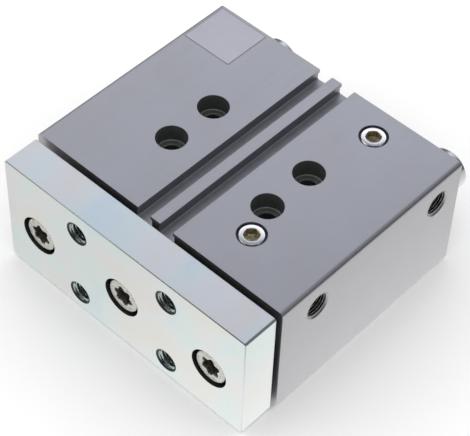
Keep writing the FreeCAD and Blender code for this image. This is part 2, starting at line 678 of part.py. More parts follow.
def piston_half_profile(face, direction, hub_r):
    """Half of the piston from its outer face to the middle, as a (station, radius) profile."""
    land = BORE_R - PISTON_LAND_GAP
    seal_floor = BORE_R - PISTON_SEAL_DEPTH
    near = face + direction * PISTON_SEAL_SETBACK
    far = near + direction * PISTON_SEAL_LENGTH
    band = PISTON_MIDDLE - direction * GUIDE_BAND_LENGTH / 2
    magnet = PISTON_MIDDLE - direction * MAGNET_LENGTH / 2
    band_floor = BORE_R - RUNNING_CLEARANCE - GUIDE_BAND_THICKNESS - SEAT_CLEARANCE
    magnet_floor = band_floor - MAGNET_DEPTH
    bevel = 0.6 * PISTON_LAND_GAP
    return [
        (face, hub_r), (face, land - bevel), (face + direction * bevel, land), (near, land), (near, seal_floor),
        (far, seal_floor), (far, land), (band, land), (band, band_floor), (magnet, band_floor),
        (magnet, magnet_floor), (PISTON_MIDDLE, magnet_floor), (PISTON_MIDDLE, hub_r),
    ]


def piston_front_half():
    """The piston's front half, which seats on the rod's shoulder and holds the stem's O-ring."""
    hub_r = ROD_STEM_DIAMETER / 2 + SEAT_CLEARANCE
    groove_r = hub_r + 0.85 * STEM_O_RING_CORD
    profile = piston_half_profile(PISTON_FRONT, 1, hub_r)
    groove_end = PISTON_FRONT + STEM_O_RING_CORD + SEAT_CLEARANCE
    profile = [(PISTON_FRONT, groove_r)] + profile[1:] + [(groove_end, hub_r), (groove_end, groove_r)]
    return turned(profile, 0, PISTON_AXIS_Z)


def piston_rear_half():
    """The piston's rear half, with the pocket for the stem's nut."""
    hub_r = ROD_STEM_DIAMETER / 2 + SEAT_CLEARANCE
    pocket_r = STEM_NUT_FLATS / math.sqrt(3) + STEM_NUT_POCKET_GAP
    profile = piston_half_profile(PISTON_REAR, -1, hub_r)
    seat = stem_nut_seat()
    profile = [(PISTON_REAR, pocket_r)] + profile[1:] + [(seat, hub_r), (seat, pocket_r)]
    return turned(profile, 0, PISTON_AXIS_Z)


def stem_o_ring():
    """The O-ring between the rod's stem and the piston."""
    inner = ROD_STEM_DIAMETER / 2 + 2 * SEAT_CLEARANCE
    outer = ROD_STEM_DIAMETER / 2 + 0.85 * STEM_O_RING_CORD
    return cord_ring(PISTON_FRONT + STEM_O_RING_CORD / 2, inner, outer, STEM_O_RING_CORD, 0, PISTON_AXIS_Z)


def piston_magnet():
    """The ring magnet that the position sensors read, clamped between the piston's halves."""
    outer = BORE_R - RUNNING_CLEARANCE - GUIDE_BAND_THICKNESS - 2 * SEAT_CLEARANCE
    inner = outer - MAGNET_DEPTH + 2 * SEAT_CLEARANCE
    half = MAGNET_LENGTH / 2 - SEAT_CLEARANCE
    return turned(tube_profile(PISTON_MIDDLE - half, PISTON_MIDDLE + half, inner, outer), 0, PISTON_AXIS_Z)


def piston_guide_band():
    """The plastic wear band round the piston's middle, over the magnet."""
    outer = BORE_R - RUNNING_CLEARANCE
    half = GUIDE_BAND_LENGTH / 2 - SEAT_CLEARANCE
    return turned(tube_profile(PISTON_MIDDLE - half, PISTON_MIDDLE + half, outer - GUIDE_BAND_THICKNESS, outer),
                  0, PISTON_AXIS_Z)


def piston_seals():
    """The lip seal in each half of the piston, both lips facing outwards."""
    lip = BORE_R - RUNNING_CLEARANCE
    floor = BORE_R - PISTON_SEAL_DEPTH + SEAT_CLEARANCE
    third = (lip - floor) / 3
    seals = []
    for face, direction in ((PISTON_FRONT, 1), (PISTON_REAR, -1)):
        near = face + direction * (PISTON_SEAL_SETBACK + SEAT_CLEARANCE)
        far = face + direction * (PISTON_SEAL_SETBACK + PISTON_SEAL_LENGTH - SEAT_CLEARANCE)
        notch = near + direction * 0.5 * PISTON_SEAL_LENGTH
        profile = [(near, floor), (near, floor + third), (notch, floor + 1.5 * third), (near, floor + 2.2 * third),
                   (near, lip), (near + direction * 0.2 * PISTON_SEAL_LENGTH, lip), (far, lip - 0.4 * third),
                   (far, floor)]
        seals.append(turned(profile, 0, PISTON_AXIS_Z))
    return seals


def stem_nut():
    """The hexagon nut that clamps the piston on the rod's stem."""
    start = stem_nut_seat()
    nut = hexagon_prism(STEM_NUT_FLATS, start, start + STEM_NUT_HEIGHT, 0, PISTON_AXIS_Z)
    hole_r = ROD_STEM_DIAMETER / 2 + THREAD_CLEARANCE
    hole = Part.makeCylinder(hole_r, STEM_NUT_HEIGHT + 2, V(0, FRONT_Y + start - 1, PISTON_AXIS_Z), V(0, 1, 0))
    return nut.cut(hole)


def lobed_socket(x, z, tip_r, start, depth):
    """A six-lobed drive socket, as the cutter that makes it."""
    along = V(0, 1, 0)
    y = FRONT_Y + start
    cutter = Part.makeCylinder(tip_r, depth, V(x, y, z), along)
    valley_r = 0.62 * DRIVE_LOBE_DEPTH
    for i in range(6):
        angle = math.radians(60 * i + 12)
        reach = tip_r - DRIVE_LOBE_DEPTH + valley_r
        valley = Part.makeCylinder(valley_r, depth, V(x + reach * math.cos(angle), y, z + reach * math.sin(angle)), along)
        cutter = cutter.cut(valley)
    return cutter


def yoke_screw(x, z):
    """One cylinder-head screw with a six-lobed drive, its head sunk in the yoke plate."""
    head_r = SCREW_HEAD_DIAMETER / 2
    shank_r = SCREW_DIAMETER / 2
    start = YOKE_FRONT + SCREW_HEAD_RECESS
    bevel = SCREW_HEAD_CHAMFER
    profile = [(start, 0), (start, head_r - bevel), (start + bevel, head_r), (HEAD_SEAT, head_r),
               (HEAD_SEAT, shank_r), (SCREW_TIP - bevel, shank_r), (SCREW_TIP, shank_r - bevel), (SCREW_TIP, 0)]
    return turned(profile, x, z).cut(lobed_socket(x, z, DRIVE_TIP_DIAMETER / 2, start, DRIVE_DEPTH))


def build_nodes():
    """Every node's name with its shape, or its group of separate solids."""
    return {
        "housing": housing(),
        "front_bearing_cap": front_bearing_cap(),
        "rear_end_cap": rear_end_cap(),
        "cap_o_rings": cap_o_rings(),
        "cap_retaining_rings": cap_retaining_rings(),
        "rod_bush": rod_bush(),
        "rod_seal": rod_seal(),
        "front_bumper": bumper(CHAMBER_FRONT, 1),
        "rear_bumper": bumper(CHAMBER_REAR, -1),
        "bushing_shells": bushing_shells(),
        "bushing_cages": bushing_cages(),
        "bushing_balls": bushing_balls(),
        "guide_wipers": guide_wipers(),
        "guide_retaining_rings": guide_retaining_rings(),
        "port_plugs": port_plugs(),
        "type_label": type_label(),
        "yoke_plate": yoke_plate(),
        "guide_rod_left": guide_rod(GUIDE_XS[0]),
        "guide_rod_right": guide_rod(GUIDE_XS[1]),
        "piston_rod": piston_rod(),
        "piston_front_half": piston_front_half(),
        "piston_rear_half": piston_rear_half(),
        "stem_o_ring": stem_o_ring(),
        "piston_magnet": piston_magnet(),
        "piston_guide_band": piston_guide_band(),
        "piston_seals": piston_seals(),
        "stem_nut": stem_nut(),
        "guide_rod_screws": [yoke_screw(x, GUIDE_AXIS_Z) for x in GUIDE_XS],
        "piston_rod_screw": yoke_screw(0.0, PISTON_AXIS_Z),
    }


def main():
    """Write one STEP file for each node."""
    os.makedirs("parts", exist_ok=True)
    for name, shape in build_nodes().items():
        if isinstance(shape, list):
            shape = Part.makeCompound(shape)
        shape.exportStep("parts/" + name + ".step")


main()
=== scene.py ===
"""Looks of a guided pneumatic cylinder: finishes, threads, screws, plugs, rods, label, studio and camera.

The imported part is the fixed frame. Lengths are metres, +Z is up and the yoke plate moves towards -Y.
"""
import logging
import math
from collections.abc import Callable
from dataclasses import dataclass
from enum import Enum
from functools import partial
from typing import Any

import bmesh
import bpy
import numpy as np
from bpy.types import ID, Material, Mesh, Node, NodeSocket, NodeTree, Object
from mathutils import Matrix, Vector


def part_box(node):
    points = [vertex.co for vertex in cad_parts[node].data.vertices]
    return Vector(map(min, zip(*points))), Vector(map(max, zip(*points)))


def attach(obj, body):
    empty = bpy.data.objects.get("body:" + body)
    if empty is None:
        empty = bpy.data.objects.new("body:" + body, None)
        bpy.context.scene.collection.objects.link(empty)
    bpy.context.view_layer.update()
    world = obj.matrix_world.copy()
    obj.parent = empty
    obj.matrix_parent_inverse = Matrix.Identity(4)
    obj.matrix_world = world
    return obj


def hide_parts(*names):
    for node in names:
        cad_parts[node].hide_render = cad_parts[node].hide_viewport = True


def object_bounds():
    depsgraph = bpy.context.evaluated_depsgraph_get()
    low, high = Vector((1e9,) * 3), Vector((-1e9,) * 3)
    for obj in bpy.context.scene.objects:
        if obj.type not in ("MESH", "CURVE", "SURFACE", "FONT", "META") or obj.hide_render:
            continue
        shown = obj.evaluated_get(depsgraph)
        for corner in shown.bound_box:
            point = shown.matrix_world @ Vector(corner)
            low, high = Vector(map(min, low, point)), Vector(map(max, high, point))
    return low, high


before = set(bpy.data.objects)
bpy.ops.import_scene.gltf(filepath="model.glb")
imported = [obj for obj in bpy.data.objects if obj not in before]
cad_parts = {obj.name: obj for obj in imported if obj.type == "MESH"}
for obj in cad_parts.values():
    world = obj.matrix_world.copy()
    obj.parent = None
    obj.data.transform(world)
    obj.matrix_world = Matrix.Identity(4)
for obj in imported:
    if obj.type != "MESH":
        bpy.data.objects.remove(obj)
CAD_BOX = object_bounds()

NodeAdder = Callable[..., Node]
Point = tuple[float, float, float]
Profile = list[tuple[float, Any]]    # a station, and its radius or one radius for each angle
LOG = logging.getLogger("cylinder_looks")
MM = 0.001
PIPE_PITCH = 0.907 * MM     # G1/8 pipe thread, 28 threads to the inch
COARSE_PITCH = 1.25 * MM    # M8 coarse thread
CLEAR = 1 * MM              # how far a cutter reaches past the surface that it opens
LAP = 0.005 * MM            # how far a thread's lining stays off the wall that was cut for it
THREAD_SHARP = 40.0         # degrees between faces from which a thread's edge stays sharp


# ---------------- small tools

def linear(colour: str) -> tuple[float, float, float, float]:
    """Turns an sRGB hex colour into linear red, green, blue and full alpha.

    Args:
        colour: "#RRGGBB".

    Returns:
        Linear channels; each is c/12.92 below 0.04045 and ((c + 0.055)/1.055)^2.4 above it.
    """
    channels = np.array([int(colour[i:i + 2], 16) for i in (1, 3, 5)]) / 255.0
    curve = np.where(channels <= 0.04045, channels / 12.92, ((channels + 0.055) / 1.055) ** 2.4)
    return (*curve.tolist(), 1.0)


def per_metre(size_mm: float) -> float:
    """The texture scale at which one cell of a pattern is size_mm wide."""
    return 1.0 / (size_mm * MM)


def empty_tree(owner: ID) -> NodeTree:
    """The node tree of a material or a world, without the nodes that it came with."""
    owner.use_nodes = True
    owner.node_tree.nodes.clear()
    return owner.node_tree


def add_node(tree: NodeTree, kind: str, settings: dict[Any, Any] | None = None,
             links: dict[Any, Node | NodeSocket] | None = None) -> Node:
    """Adds one shader node, sets its values and links its inputs.

    Args:
        tree: The node tree that gets the node.
        kind: The node's type name after "ShaderNode".
        settings: Values by property name, input name or input number. "stops" fills a colour
            ramp, and "range" gives what goes in, low and high, then what comes out.
        links: What feeds each input, by its name or number: an output, or a node for its first one.

    Returns:
        The new node.
    """
    node = tree.nodes.new("ShaderNode" + kind)
    for key, value in (settings or {}).items():
        if key == "stops":
            elements = node.color_ramp.elements
            while len(elements) < len(value):
                elements.new(1.0)
            for element, (position, colour) in zip(elements, value):
                element.position = position
                element.color = linear(colour)
        elif key == "range":
            for end, number in zip(("From Min", "From Max", "To Min", "To Max"), value):
                node.inputs[end].default_value = number
        elif isinstance(key, int) or key in node.inputs:
            node.inputs[key].default_value = value
        else:
            setattr(node, key, value)
    for key, source in (links or {}).items():
        tree.links.new(source.outputs[0] if isinstance(source, Node) else source, node.inputs[key])
    return node


def add_object(name: str, data: ID) -> Object:
    """A new object in the scene for a mesh, a lamp's data or a camera's data."""
    made = bpy.data.objects.new(name, data)
    bpy.context.scene.collection.objects.link(made)
    return made


# ---------------- finishes

@dataclass(frozen=True)
class Finish:
    """A surface finish. Its subclasses add what the way it was made gives the eye.

    Colours are sRGB hex values and sizes are millimetres.
    """

    name: str
    colour: str
    metallic: float
    roughness: float

    def material(self) -> Material:
        """The finish as a node material, made on first use."""
        made = bpy.data.materials.get(self.name)
        if made:
            return made
        made = bpy.data.materials.new(self.name)
        add = partial(add_node, empty_tree(made))
        place = add("TexCoord").outputs["Object"]
        plain = {"Base Color": linear(self.colour), "Metallic": self.metallic, "Roughness": self.roughness}
        surface = add("BsdfPrincipled", plain, self.dress(add, place))
        add("OutputMaterial", links={"Surface": surface})
        return made

    def dress(self, add: NodeAdder, place: NodeSocket) -> dict[str, Node]:
        """Builds the pattern of the finish.

        Args:
            add: add_node for the material's tree.
            place: Object coordinates, in metres.

        Returns:
            The node that feeds each input of the shader.
        """
        raise NotImplementedError


@dataclass(frozen=True)
class GrainedFinish(Finish):
    """Moulded, sintered, blasted or plated surfaces: a soft cloud of two shades with a fine grain on it."""

    second_colour: str
    cloud_mm: float = 2.0
    grain_mm: float = 0.3
    grain_depth_mm: float = 0.01
    roughness_swing: float = 0.06

    def dress(self, add: NodeAdder, place: NodeSocket) -> dict[str, Node]:
        """Clouds of colour, and grain as roughness and bump."""
        cloud = add("TexNoise", {"Scale": per_metre(self.cloud_mm), "Detail": 4.0, "Roughness": 0.6},
                    {"Vector": place})
        shade = add("ValToRGB", {"stops": [(0.32, self.colour), (0.68, self.second_colour)]}, {"Fac": cloud})
        grain = add("TexNoise", {"Scale": per_metre(self.grain_mm), "Detail": 2.0}, {"Vector": place})
        smoothest = max(self.roughness - self.roughness_swing, 0.02)
        rough = add("MapRange", {"range": (0.0, 1.0, smoothest, self.roughness + self.roughness_swing)},
                    {"Value": grain})
        bump = add("Bump", {"Strength": 0.35, "Distance": self.grain_depth_mm * MM}, {"Height": grain})
        return {"Base Color": shade, "Roughness": rough, "Normal": bump}


@dataclass(frozen=True)
class AnodisedAluminium(Finish):
    """Extruded, machined and anodised aluminium.

    The oxide layer gives an even satin grey with a faint violet tint that clouds over a few
    centimetres, a fine etched grain, and weak die lines along the extrusion.
    """

    cool_colour: str = "#BCBCBF"
    cloud_mm: float = 18.0
    grain_mm: float = 0.45
    grain_depth_mm: float = 0.012
    die_line_mm: float = 0.6

    def dress(self, add: NodeAdder, place: NodeSocket) -> dict[str, Node]:
        """Clouds the tint, speckles it with grain and draws die lines along Y."""
        cloud = add("TexNoise", {"Scale": per_metre(self.cloud_mm), "Detail": 5.0, "Roughness": 0.55},
                    {"Vector": place})
        shade = add("ValToRGB", {"stops": [(0.3, self.colour), (0.7, self.cool_colour)]}, {"Fac": cloud})
        grain = add("TexNoise", {"Scale": per_metre(self.grain_mm), "Detail": 3.0, "Roughness": 0.7},
                    {"Vector": place})
        speckle = add("MapRange", {"range": (0.3, 0.7, 0.955, 1.045)}, {"Value": grain})
        tint = add("VectorMath", {"operation": "SCALE"}, {0: shade, "Scale": speckle})
        drawn = add("Mapping", {"Scale": (1.0, 0.01, 1.0)}, {"Vector": place})
        lines = add("TexNoise", {"Scale": per_metre(self.die_line_mm), "Detail": 2.0}, {"Vector": drawn})
        rough = add("MapRange", {"range": (0.3, 0.7, self.roughness - 0.02, self.roughness + 0.02)},
                    {"Value": lines})
        height = add("Math", {"operation": "MULTIPLY_ADD", 1: 0.15}, {0: lines, 2: grain})
        bump = add("Bump", {"Strength": 0.25, "Distance": self.grain_depth_mm * MM}, {"Height": height})
        return {"Base Color": tint, "Roughness": rough, "Normal": bump}


@dataclass(frozen=True)
class ZincPlatedSteel(Finish):
    """Ground flat steel, zinc plated and passivated clear-blue.

    It is very light, shows faint grinding lines and handling scratches, and the thin chromate
    layer drifts between blue, green, straw and pink over a few centimetres.
    """

    cloud_mm: float = 26.0
    line_mm: float = 0.35
    scratch_mm: float = 5.0 / 3.0
    line_depth_mm: float = 0.006

    def dress(self, add: NodeAdder, place: NodeSocket) -> dict[str, Node]:
        """Drifts the tint, and draws grinding lines along X and a few scratches."""
        cloud = add("TexNoise", {"Scale": per_metre(self.cloud_mm), "Detail": 3.0, "Roughness": 0.5,
                                 "Distortion": 0.6}, {"Vector": place})
        tint = add("ValToRGB", {"stops": [
            (0.28, "#DCE9F0"), (0.42, "#E3EEEA"), (0.52, self.colour), (0.62, "#EBE9E3"), (0.74, "#E1E6F0")]},
            {"Fac": cloud})
        drawn = add("Mapping", {"Scale": (0.03, 1.0, 1.0)}, {"Vector": place})
        lines = add("TexNoise", {"Scale": per_metre(self.line_mm), "Detail": 3.0}, {"Vector": drawn})
        slanted = add("Mapping", {"Rotation": (0.5, 0.3, 0.9), "Scale": (1.0, 0.06, 1.0)}, {"Vector": place})
        scratches = add("TexNoise", {"Scale": per_metre(self.scratch_mm), "Detail": 6.0, "Roughness": 0.75},
                        {"Vector": slanted})
        cuts = add("MapRange", {"range": (0.66, 0.74, 0.0, 1.0)}, {"Value": scratches})
        rough = add("MapRange", {"range": (0.3, 0.7, self.roughness - 0.02, self.roughness + 0.03)},
                    {"Value": lines})
        worn = add("Math", {"operation": "MULTIPLY_ADD", 1: 0.12}, {0: cuts, 2: rough})
        height = add("Math", {"operation": "SUBTRACT"}, {0: lines, 1: cuts})
        bump = add("Bump", {"Strength": 0.1, "Distance": self.line_depth_mm * MM}, {"Height": height})
        return {"Base Color": tint, "Roughness": worn, "Normal": bump}


@dataclass(frozen=True)
class TurnedMetal(Finish):
    """Metal turned on a lathe: fine rings around its own axis, one for each step of the tool.

    The axis runs along Y at plus and minus centre_x_mm and at centre_z_mm. The feed is drawn
    coarser than the real 0.1 mm so that it shows.
    """

    centre_x_mm: float
    centre_z_mm: float
    feed_mm: float
    depth_mm: float
    wear_mm: float = 3.0

    def dress(self, add: NodeAdder, place: NodeSocket) -> dict[str, Node]:
        """Turns distance from the axis plus distance along it into tool rings."""
        parts = add("SeparateXYZ", links={"Vector": place})
        side = add("Math", {"operation": "ABSOLUTE"}, {0: parts.outputs["X"]})
        across = add("Math", {"operation": "SUBTRACT", 1: self.centre_x_mm * MM}, {0: side})
        above = add("Math", {"operation": "SUBTRACT", 1: self.centre_z_mm * MM}, {0: parts.outputs["Z"]})
        flat = add("CombineXYZ", links={"X": across, "Z": above})
        radius = add("VectorMath", {"operation": "LENGTH"}, {0: flat}).outputs["Value"]
        path = add("Math", {"operation": "ADD"}, {0: radius, 1: parts.outputs["Y"]})
        turns = add("Math", {"operation": "MULTIPLY", 1: 2 * math.pi / (self.feed_mm * MM)}, {0: path})
        ring = add("Math", {"operation": "SINE"}, {0: turns})
        wear = add("TexNoise", {"Scale": per_metre(self.wear_mm), "Detail": 3.0}, {"Vector": place})
        marks = add("Math", {"operation": "MULTIPLY_ADD", 1: 0.35}, {0: ring, 2: wear})
        smoothest = max(self.roughness - 0.05, 0.02)
        rough = add("MapRange", {"range": (0.0, 1.0, smoothest, self.roughness + 0.06)}, {"Value": marks})
        bump = add("Bump", {"Strength": 0.3, "Distance": self.depth_mm * MM}, {"Height": marks})
        return {"Roughness": rough, "Normal": bump}


HOUSING_FINISH = AnodisedAluminium("anodised_aluminium_satin_grey", "#B9B8BA", 1.0, 0.36)
# Inside the mounting holes, the walls and counterbore floors get a darker copy of the housing's finish: a painted
# shade for the depth of the holes.
BORE_PAINTED_SHADE = GrainedFinish("mounting_hole_painted_shade", "#8C8F8C", 0.9, 0.55, "#7E817F")
# The first turn of a port's thread and the tips of its turns get a lighter, less metallic copy: a painted highlight.
# The turns behind the first get a darker glossy copy: a painted shade.
CREST_PAINTED_HIGHLIGHT = GrainedFinish("thread_crest_painted_highlight", "#A6A6A2", 0.3, 0.35, "#94948F", 1.0)
PORT_THREAD_PAINTED_SHADE = GrainedFinish("port_thread_painted_shade", "#7A7C7E", 1.0, 0.3, "#66686A")
# Round the plugs of the closed ports, the mouths are painted dark: a painted shade in the gap round each plug.
PORT_MOUTH_PAINTED_SHADE = GrainedFinish("port_mouth_painted_shade", "#4A4B55", 0.8, 0.45, "#3C3D46")
# The through-hole's chamfer under each counterbore's floor, and the counterbore's corner ring, get a lighter copy of
# the housing's finish: a painted highlight.
SEAT_PAINTED_HIGHLIGHT = GrainedFinish("seat_painted_highlight", "#C9CBC8", 1.0, 0.45, "#B9BBB8", 2.0, 0.3, 0.008, 0.05)
# The slots: their walls get a darker copy of the housing's finish with die marks, a painted shade, and the floor a
# lighter, matt copy, a painted brightening.
SLOT_WALL_PAINTED_SHADE = GrainedFinish("slot_wall_painted_shade", "#9A9A9E", 1.0, 0.4, "#8E8E92", 4.0, 0.3, 0.008, 0.05)
SLOT_FLOOR_PAINTED_LIGHT = GrainedFinish("slot_floor_painted_light", "#CACBCE", 1.0, 0.5, "#BFC0C4", 4.0, 0.3, 0.008, 0.05)
YOKE_FINISH = ZincPlatedSteel("zinc_plated_ground_steel", "#E9ECEA", 1.0, 0.3)
# Cold-headed, zinc-flake coated screws: matt, warm and slightly speckled.
SCREW_FINISH = GrainedFinish("zinc_flake_screw", "#F0F0E9", 0.9, 0.42, "#B2B1A8", 0.9, 0.35, 0.03, 0.1)
# The drive recess is painted dark brown: a painted shade in the recess.
RECESS_PAINTED_SHADE = GrainedFinish("screw_recess_painted_shade", "#8E8B80", 0.8, 0.38, "#403E37", 0.8, 0.3, 0.02, 0.1)
# Counterbores in the plate and the countersunk ends of its threaded holes are painted almost black: a painted shade.
YOKE_BORE_PAINTED_SHADE = GrainedFinish("counterbore_painted_shade", "#4A4D4B", 0.8, 0.42, "#3A3C3B")
THREAD_FINISH = GrainedFinish("cut_thread_zinc", "#C6D2CE", 1.0, 0.22, "#8FA09C", 1.2, 0.3, 0.01, 0.08)
# Nickel-plated brass plugs: bright and warm, with an almost smooth face.
PLUG_FINISH = GrainedFinish("nickel_plated_brass", "#FBFAF7", 1.0, 0.12, "#F2F1ED", 4.0, 0.8, 0.003, 0.04)
# Inside the socket the plating is thin and the brass and sealant show brown.
SOCKET_FINISH = GrainedFinish("plug_socket_brown", "#D2C8A4", 0.9, 0.34, "#8C8062", 0.9, 0.4, 0.03, 0.08)
# Hard-chromed, ground and polished shafts: near-mirror with fine grinding rings.
CHROME_GUIDE = TurnedMetal("hard_chrome_guide", "#C6C7C9", 1.0, 0.12, 40.0, 22.5, 0.5, 0.0015)
CHROME_PISTON = TurnedMetal("hard_chrome_piston_rod", "#C6C7C9", 1.0, 0.12, 0.0, 24.0, 0.5, 0.0015)
CAP_FINISH = TurnedMetal("turned_aluminium_cap", "#B4B4B8", 0.9, 0.34, 0.0, 24.0, 0.35, 0.004)
BRONZE_FINISH = GrainedFinish("sintered_bronze", "#A47A4B", 0.9, 0.45, "#8C6640", 1.5, 0.3, 0.03, 0.08)
# Nitrile rubber, moulded: near black, soft sheen, faint bloom.
RUBBER_FINISH = GrainedFinish("nitrile_rubber_black", "#1D1D1F", 0.0, 0.55, "#28282A", 5.0, 0.4, 0.02)
POLYURETHANE_FINISH = GrainedFinish("polyurethane_amber", "#6E5B3A", 0.0, 0.4, "#7B6743", 5.0, 0.5, 0.01, 0.05)
# Phosphated spring steel, stamped: dark grey with a mineral bloom.
SPRING_STEEL_FINISH = GrainedFinish(
    "phosphated_spring_steel_dark", "#3A3A3D", 0.7, 0.48, "#4A4A4D", 2.0, 0.25, 0.02, 0.08)
BEARING_STEEL_FINISH = TurnedMetal("ground_bearing_steel", "#B9BBBF", 1.0, 0.25, 40.0, 22.5, 0.3, 0.003)
ACETAL_FINISH = GrainedFinish("acetal_white", "#D8D6CE", 0.0, 0.4, "#CFCCC3", 6.0, 0.5, 0.01, 0.05)
BALL_FINISH = GrainedFinish("polished_balls_steel", "#D3D5D8", 1.0, 0.08, "#CBCDD1", 2.0, 0.6, 0.002, 0.02)
FERRITE_FINISH = GrainedFinish("pressed_ferrite", "#2B2A2C", 0.2, 0.6, "#353437", 3.0, 0.3, 0.03)
NUT_FINISH = GrainedFinish("zinc_plated_nut", "#C9CCCE", 1.0, 0.35, "#BFC2C4", 4.0, 0.4)
# Printed-type film left bare: matt silver polyester, close to the housing's own shade.
LABEL_FINISH = GrainedFinish("silver_polyester_film", "#C2C2CA", 0.6, 0.5, "#C8C8CF", 9.0, 0.5, 0.006, 0.04)
# Its cut edge and a band 0.25 mm wide along the top's rim are darker.
LABEL_EDGE_FINISH = GrainedFinish("film_cut_edge", "#8B8B93", 0.4, 0.55, "#80808A", 3.0, 0.4, 0.006, 0.04)

CARRIED_FINISHES: dict[Finish, tuple[str, ...]] = {
    CAP_FINISH: ("front_bearing_cap", "rear_end_cap", "piston_front_half", "piston_rear_half"),
    RUBBER_FINISH: ("cap_o_rings", "guide_wipers", "stem_o_ring"),
    SPRING_STEEL_FINISH: ("cap_retaining_rings", "guide_retaining_rings"),
    POLYURETHANE_FINISH: ("rod_seal", "front_bumper", "rear_bumper", "piston_seals"),
    ACETAL_FINISH: ("bushing_cages", "piston_guide_band"),
    BRONZE_FINISH: ("rod_bush",), BEARING_STEEL_FINISH: ("bushing_shells",), BALL_FINISH: ("bushing_balls",),
    FERRITE_FINISH: ("piston_magnet",), NUT_FINISH: ("stem_nut",),
}


# ---------------- shapes

class Heading(Enum):
    """The way a turned piece's stations run: its axis and the direction of angle zero."""

    FORWARD = ((0.0, -1.0, 0.0), (1.0, 0.0, 0.0))
    REARWARD = ((0.0, 1.0, 0.0), (1.0, 0.0, 0.0))
    UPWARD = ((0.0, 0.0, 1.0), (1.0, 0.0, 0.0))
    OUTWARD_RIGHT = ((1.0, 0.0, 0.0), (0.0, 1.0, 0.0))


def around(count: int) -> np.ndarray:
    """Evenly spaced angles once around, without the last."""
    return np.linspace(0.0, 2 * math.pi, count, endpoint=False)


def grid_faces(rows: int, columns: int, closed_rows: bool) -> np.ndarray:
    """Corner numbers of the quads of a grid whose columns join up, and whose rows may."""
    row = np.arange(rows if closed_rows else rows - 1)[:, None]
    column = np.arange(columns)[None, :]
    after_row, after_column = (row + 1) % rows, (column + 1) % columns
    corners = (row * columns + column, after_row * columns + column,
               after_row * columns + after_column, row * columns + after_column)
    return np.stack([np.broadcast_to(c, (len(row), columns)) for c in corners], axis=-1).reshape(-1, 4)


def lathe(profile: Profile, columns: int, origin: Vector, heading: Heading,
          loop: bool = False) -> tuple[np.ndarray, list[list[int]]]:
    """Turns a profile about an axis.

    Each point is origin + station * axis + radius * (cos(angle) * across + sin(angle) * third),
    where third = axis x across. A row's radius is a number or an array of one radius for each
    angle, which is how sockets, lobes and threads get their form. A profile that isn't a loop
    ends on the axis, so its first and last rows are single points.

    Args:
        profile: (station, radius) pairs in metres.
        columns: Number of points around.
        origin: Where station zero is.
        heading: Axis and angle zero.
        loop: True for a ring, whose last row joins its first.

    Returns:
        Vertices, and faces as lists of vertex numbers.
    """
    stations = np.array([station for station, _ in profile])
    radii = np.array([np.broadcast_to(radius, columns) for _, radius in profile], float)
    axis, across = (np.array(part) for part in heading.value)
    angle = around(columns)
    spoke = np.cos(angle)[:, None] * across + np.sin(angle)[:, None] * np.cross(axis, across)
    points = np.array(origin) + stations[:, None, None] * axis + radii[..., None] * spoke
    if loop:
        return points.reshape(-1, 3), grid_faces(len(points), columns, True).tolist()
    body = points[1:-1].reshape(-1, 3)
    faces = grid_faces(len(points) - 2, columns, False)
    start = np.arange(columns)
    after = (start + 1) % columns
    rim = (len(points) - 3) * columns
    fan_first = np.stack([np.full(columns, len(body)), start, after], axis=-1)
    fan_last = np.stack([np.full(columns, len(body) + 1), rim + after, rim + start], axis=-1)
    vertices = np.vstack([body, points[0].mean(0), points[-1].mean(0)])
    return vertices, faces.tolist() + fan_first.tolist() + fan_last.tolist()


def thread_rows(start: float, end: float, pitch: float, core: float, depth: float, columns: int,
                mouth: float = 0.0, end_mouth: float = 0.0) -> Profile:
    """Rows of a 60-degree screw thread.

    At station s and angle a the phase is the fraction of (s / pitch - a / 2 pi). The tooth is a
    triangle wave of it, 0 over a quarter of the pitch at the core and 1 over an eighth outside.
    The radius is core + depth * tooth, and never less than a 45-degree countersink from either end.

    Args:
        start: First station.
        end: Last station.
        pitch: Distance between turns.
        core: Smallest radius.
        depth: Height of the teeth.
        columns: Number of points around.
        mouth: Radius of the countersink at the first station, or 0 for none.
        end_mouth: The same at the last station.

    Returns:
        (station, radii) pairs for lathe().
    """
    rows_per_turn, least_rows, core_flat, flank = 10, 8, 0.25, 0.625
    rows = np.linspace(start, end, max(int(abs(end - start) / pitch * rows_per_turn), least_rows))
    phase = (rows[:, None] / pitch - around(columns) / (2 * math.pi)) % 1.0
    tooth = np.clip((np.abs(phase - 0.5) * 2 - core_flat) / flank, 0.0, 1.0)
    radius = np.maximum(core + depth * tooth, mouth - np.abs(rows - start)[:, None])
    radius = np.maximum(radius, end_mouth - np.abs(end - rows)[:, None])
    return list(zip(rows.tolist(), radius))


def rounded_corner(radius: float, size: float, steps: int = 4) -> Profile:
    """A quarter round between a flat end at station zero and a wall.

    Point k is (size * (1 - cos t), radius - size * (1 - sin t)) for t from 0 to a right angle,
    which starts on the flat end and finishes on the wall.

    Args:
        radius: Radius of the wall.
        size: Radius of the round.
        steps: Number of points less one.

    Returns:
        (station, radius) pairs.
    """
    t = np.linspace(0.0, math.pi / 2, steps + 1)
    return list(zip((size * (1 - np.cos(t))).tolist(), (radius - size * (1 - np.sin(t))).tolist()))


@dataclass(frozen=True)
class Trench:
    """A straight-sided space in a piece, between two corners."""

    low: Point
    high: Point

    def holds(self, points: np.ndarray) -> np.ndarray:
        """True for each row of x, y, z that lies between the corners along every axis."""
        return np.all((points > np.array(self.low)) & (points < np.array(self.high)), axis=1)


@dataclass(frozen=True)
class Bore:
    """A round space in a piece, from just inside its mouth to a depth against its heading."""

    mouth: Point
    heading: Heading
    radius: float
    depth: float
    skin: float = 0.02 * MM

    def holds(self, points: np.ndarray) -> np.ndarray:
        """True for each row of x, y, z in it.

        With p measured from the mouth, the distance in is -(p . axis) and the distance out is the
        length of p less its part along the axis.
        """
        axis = np.array(self.heading.value[0])
        offset = points - np.array(self.mouth)
        along = offset @ axis
        out = np.linalg.norm(offset - along[:, None] * axis, axis=1)
        return (out < self.radius) & (along < -self.skin) & (along > -self.depth)


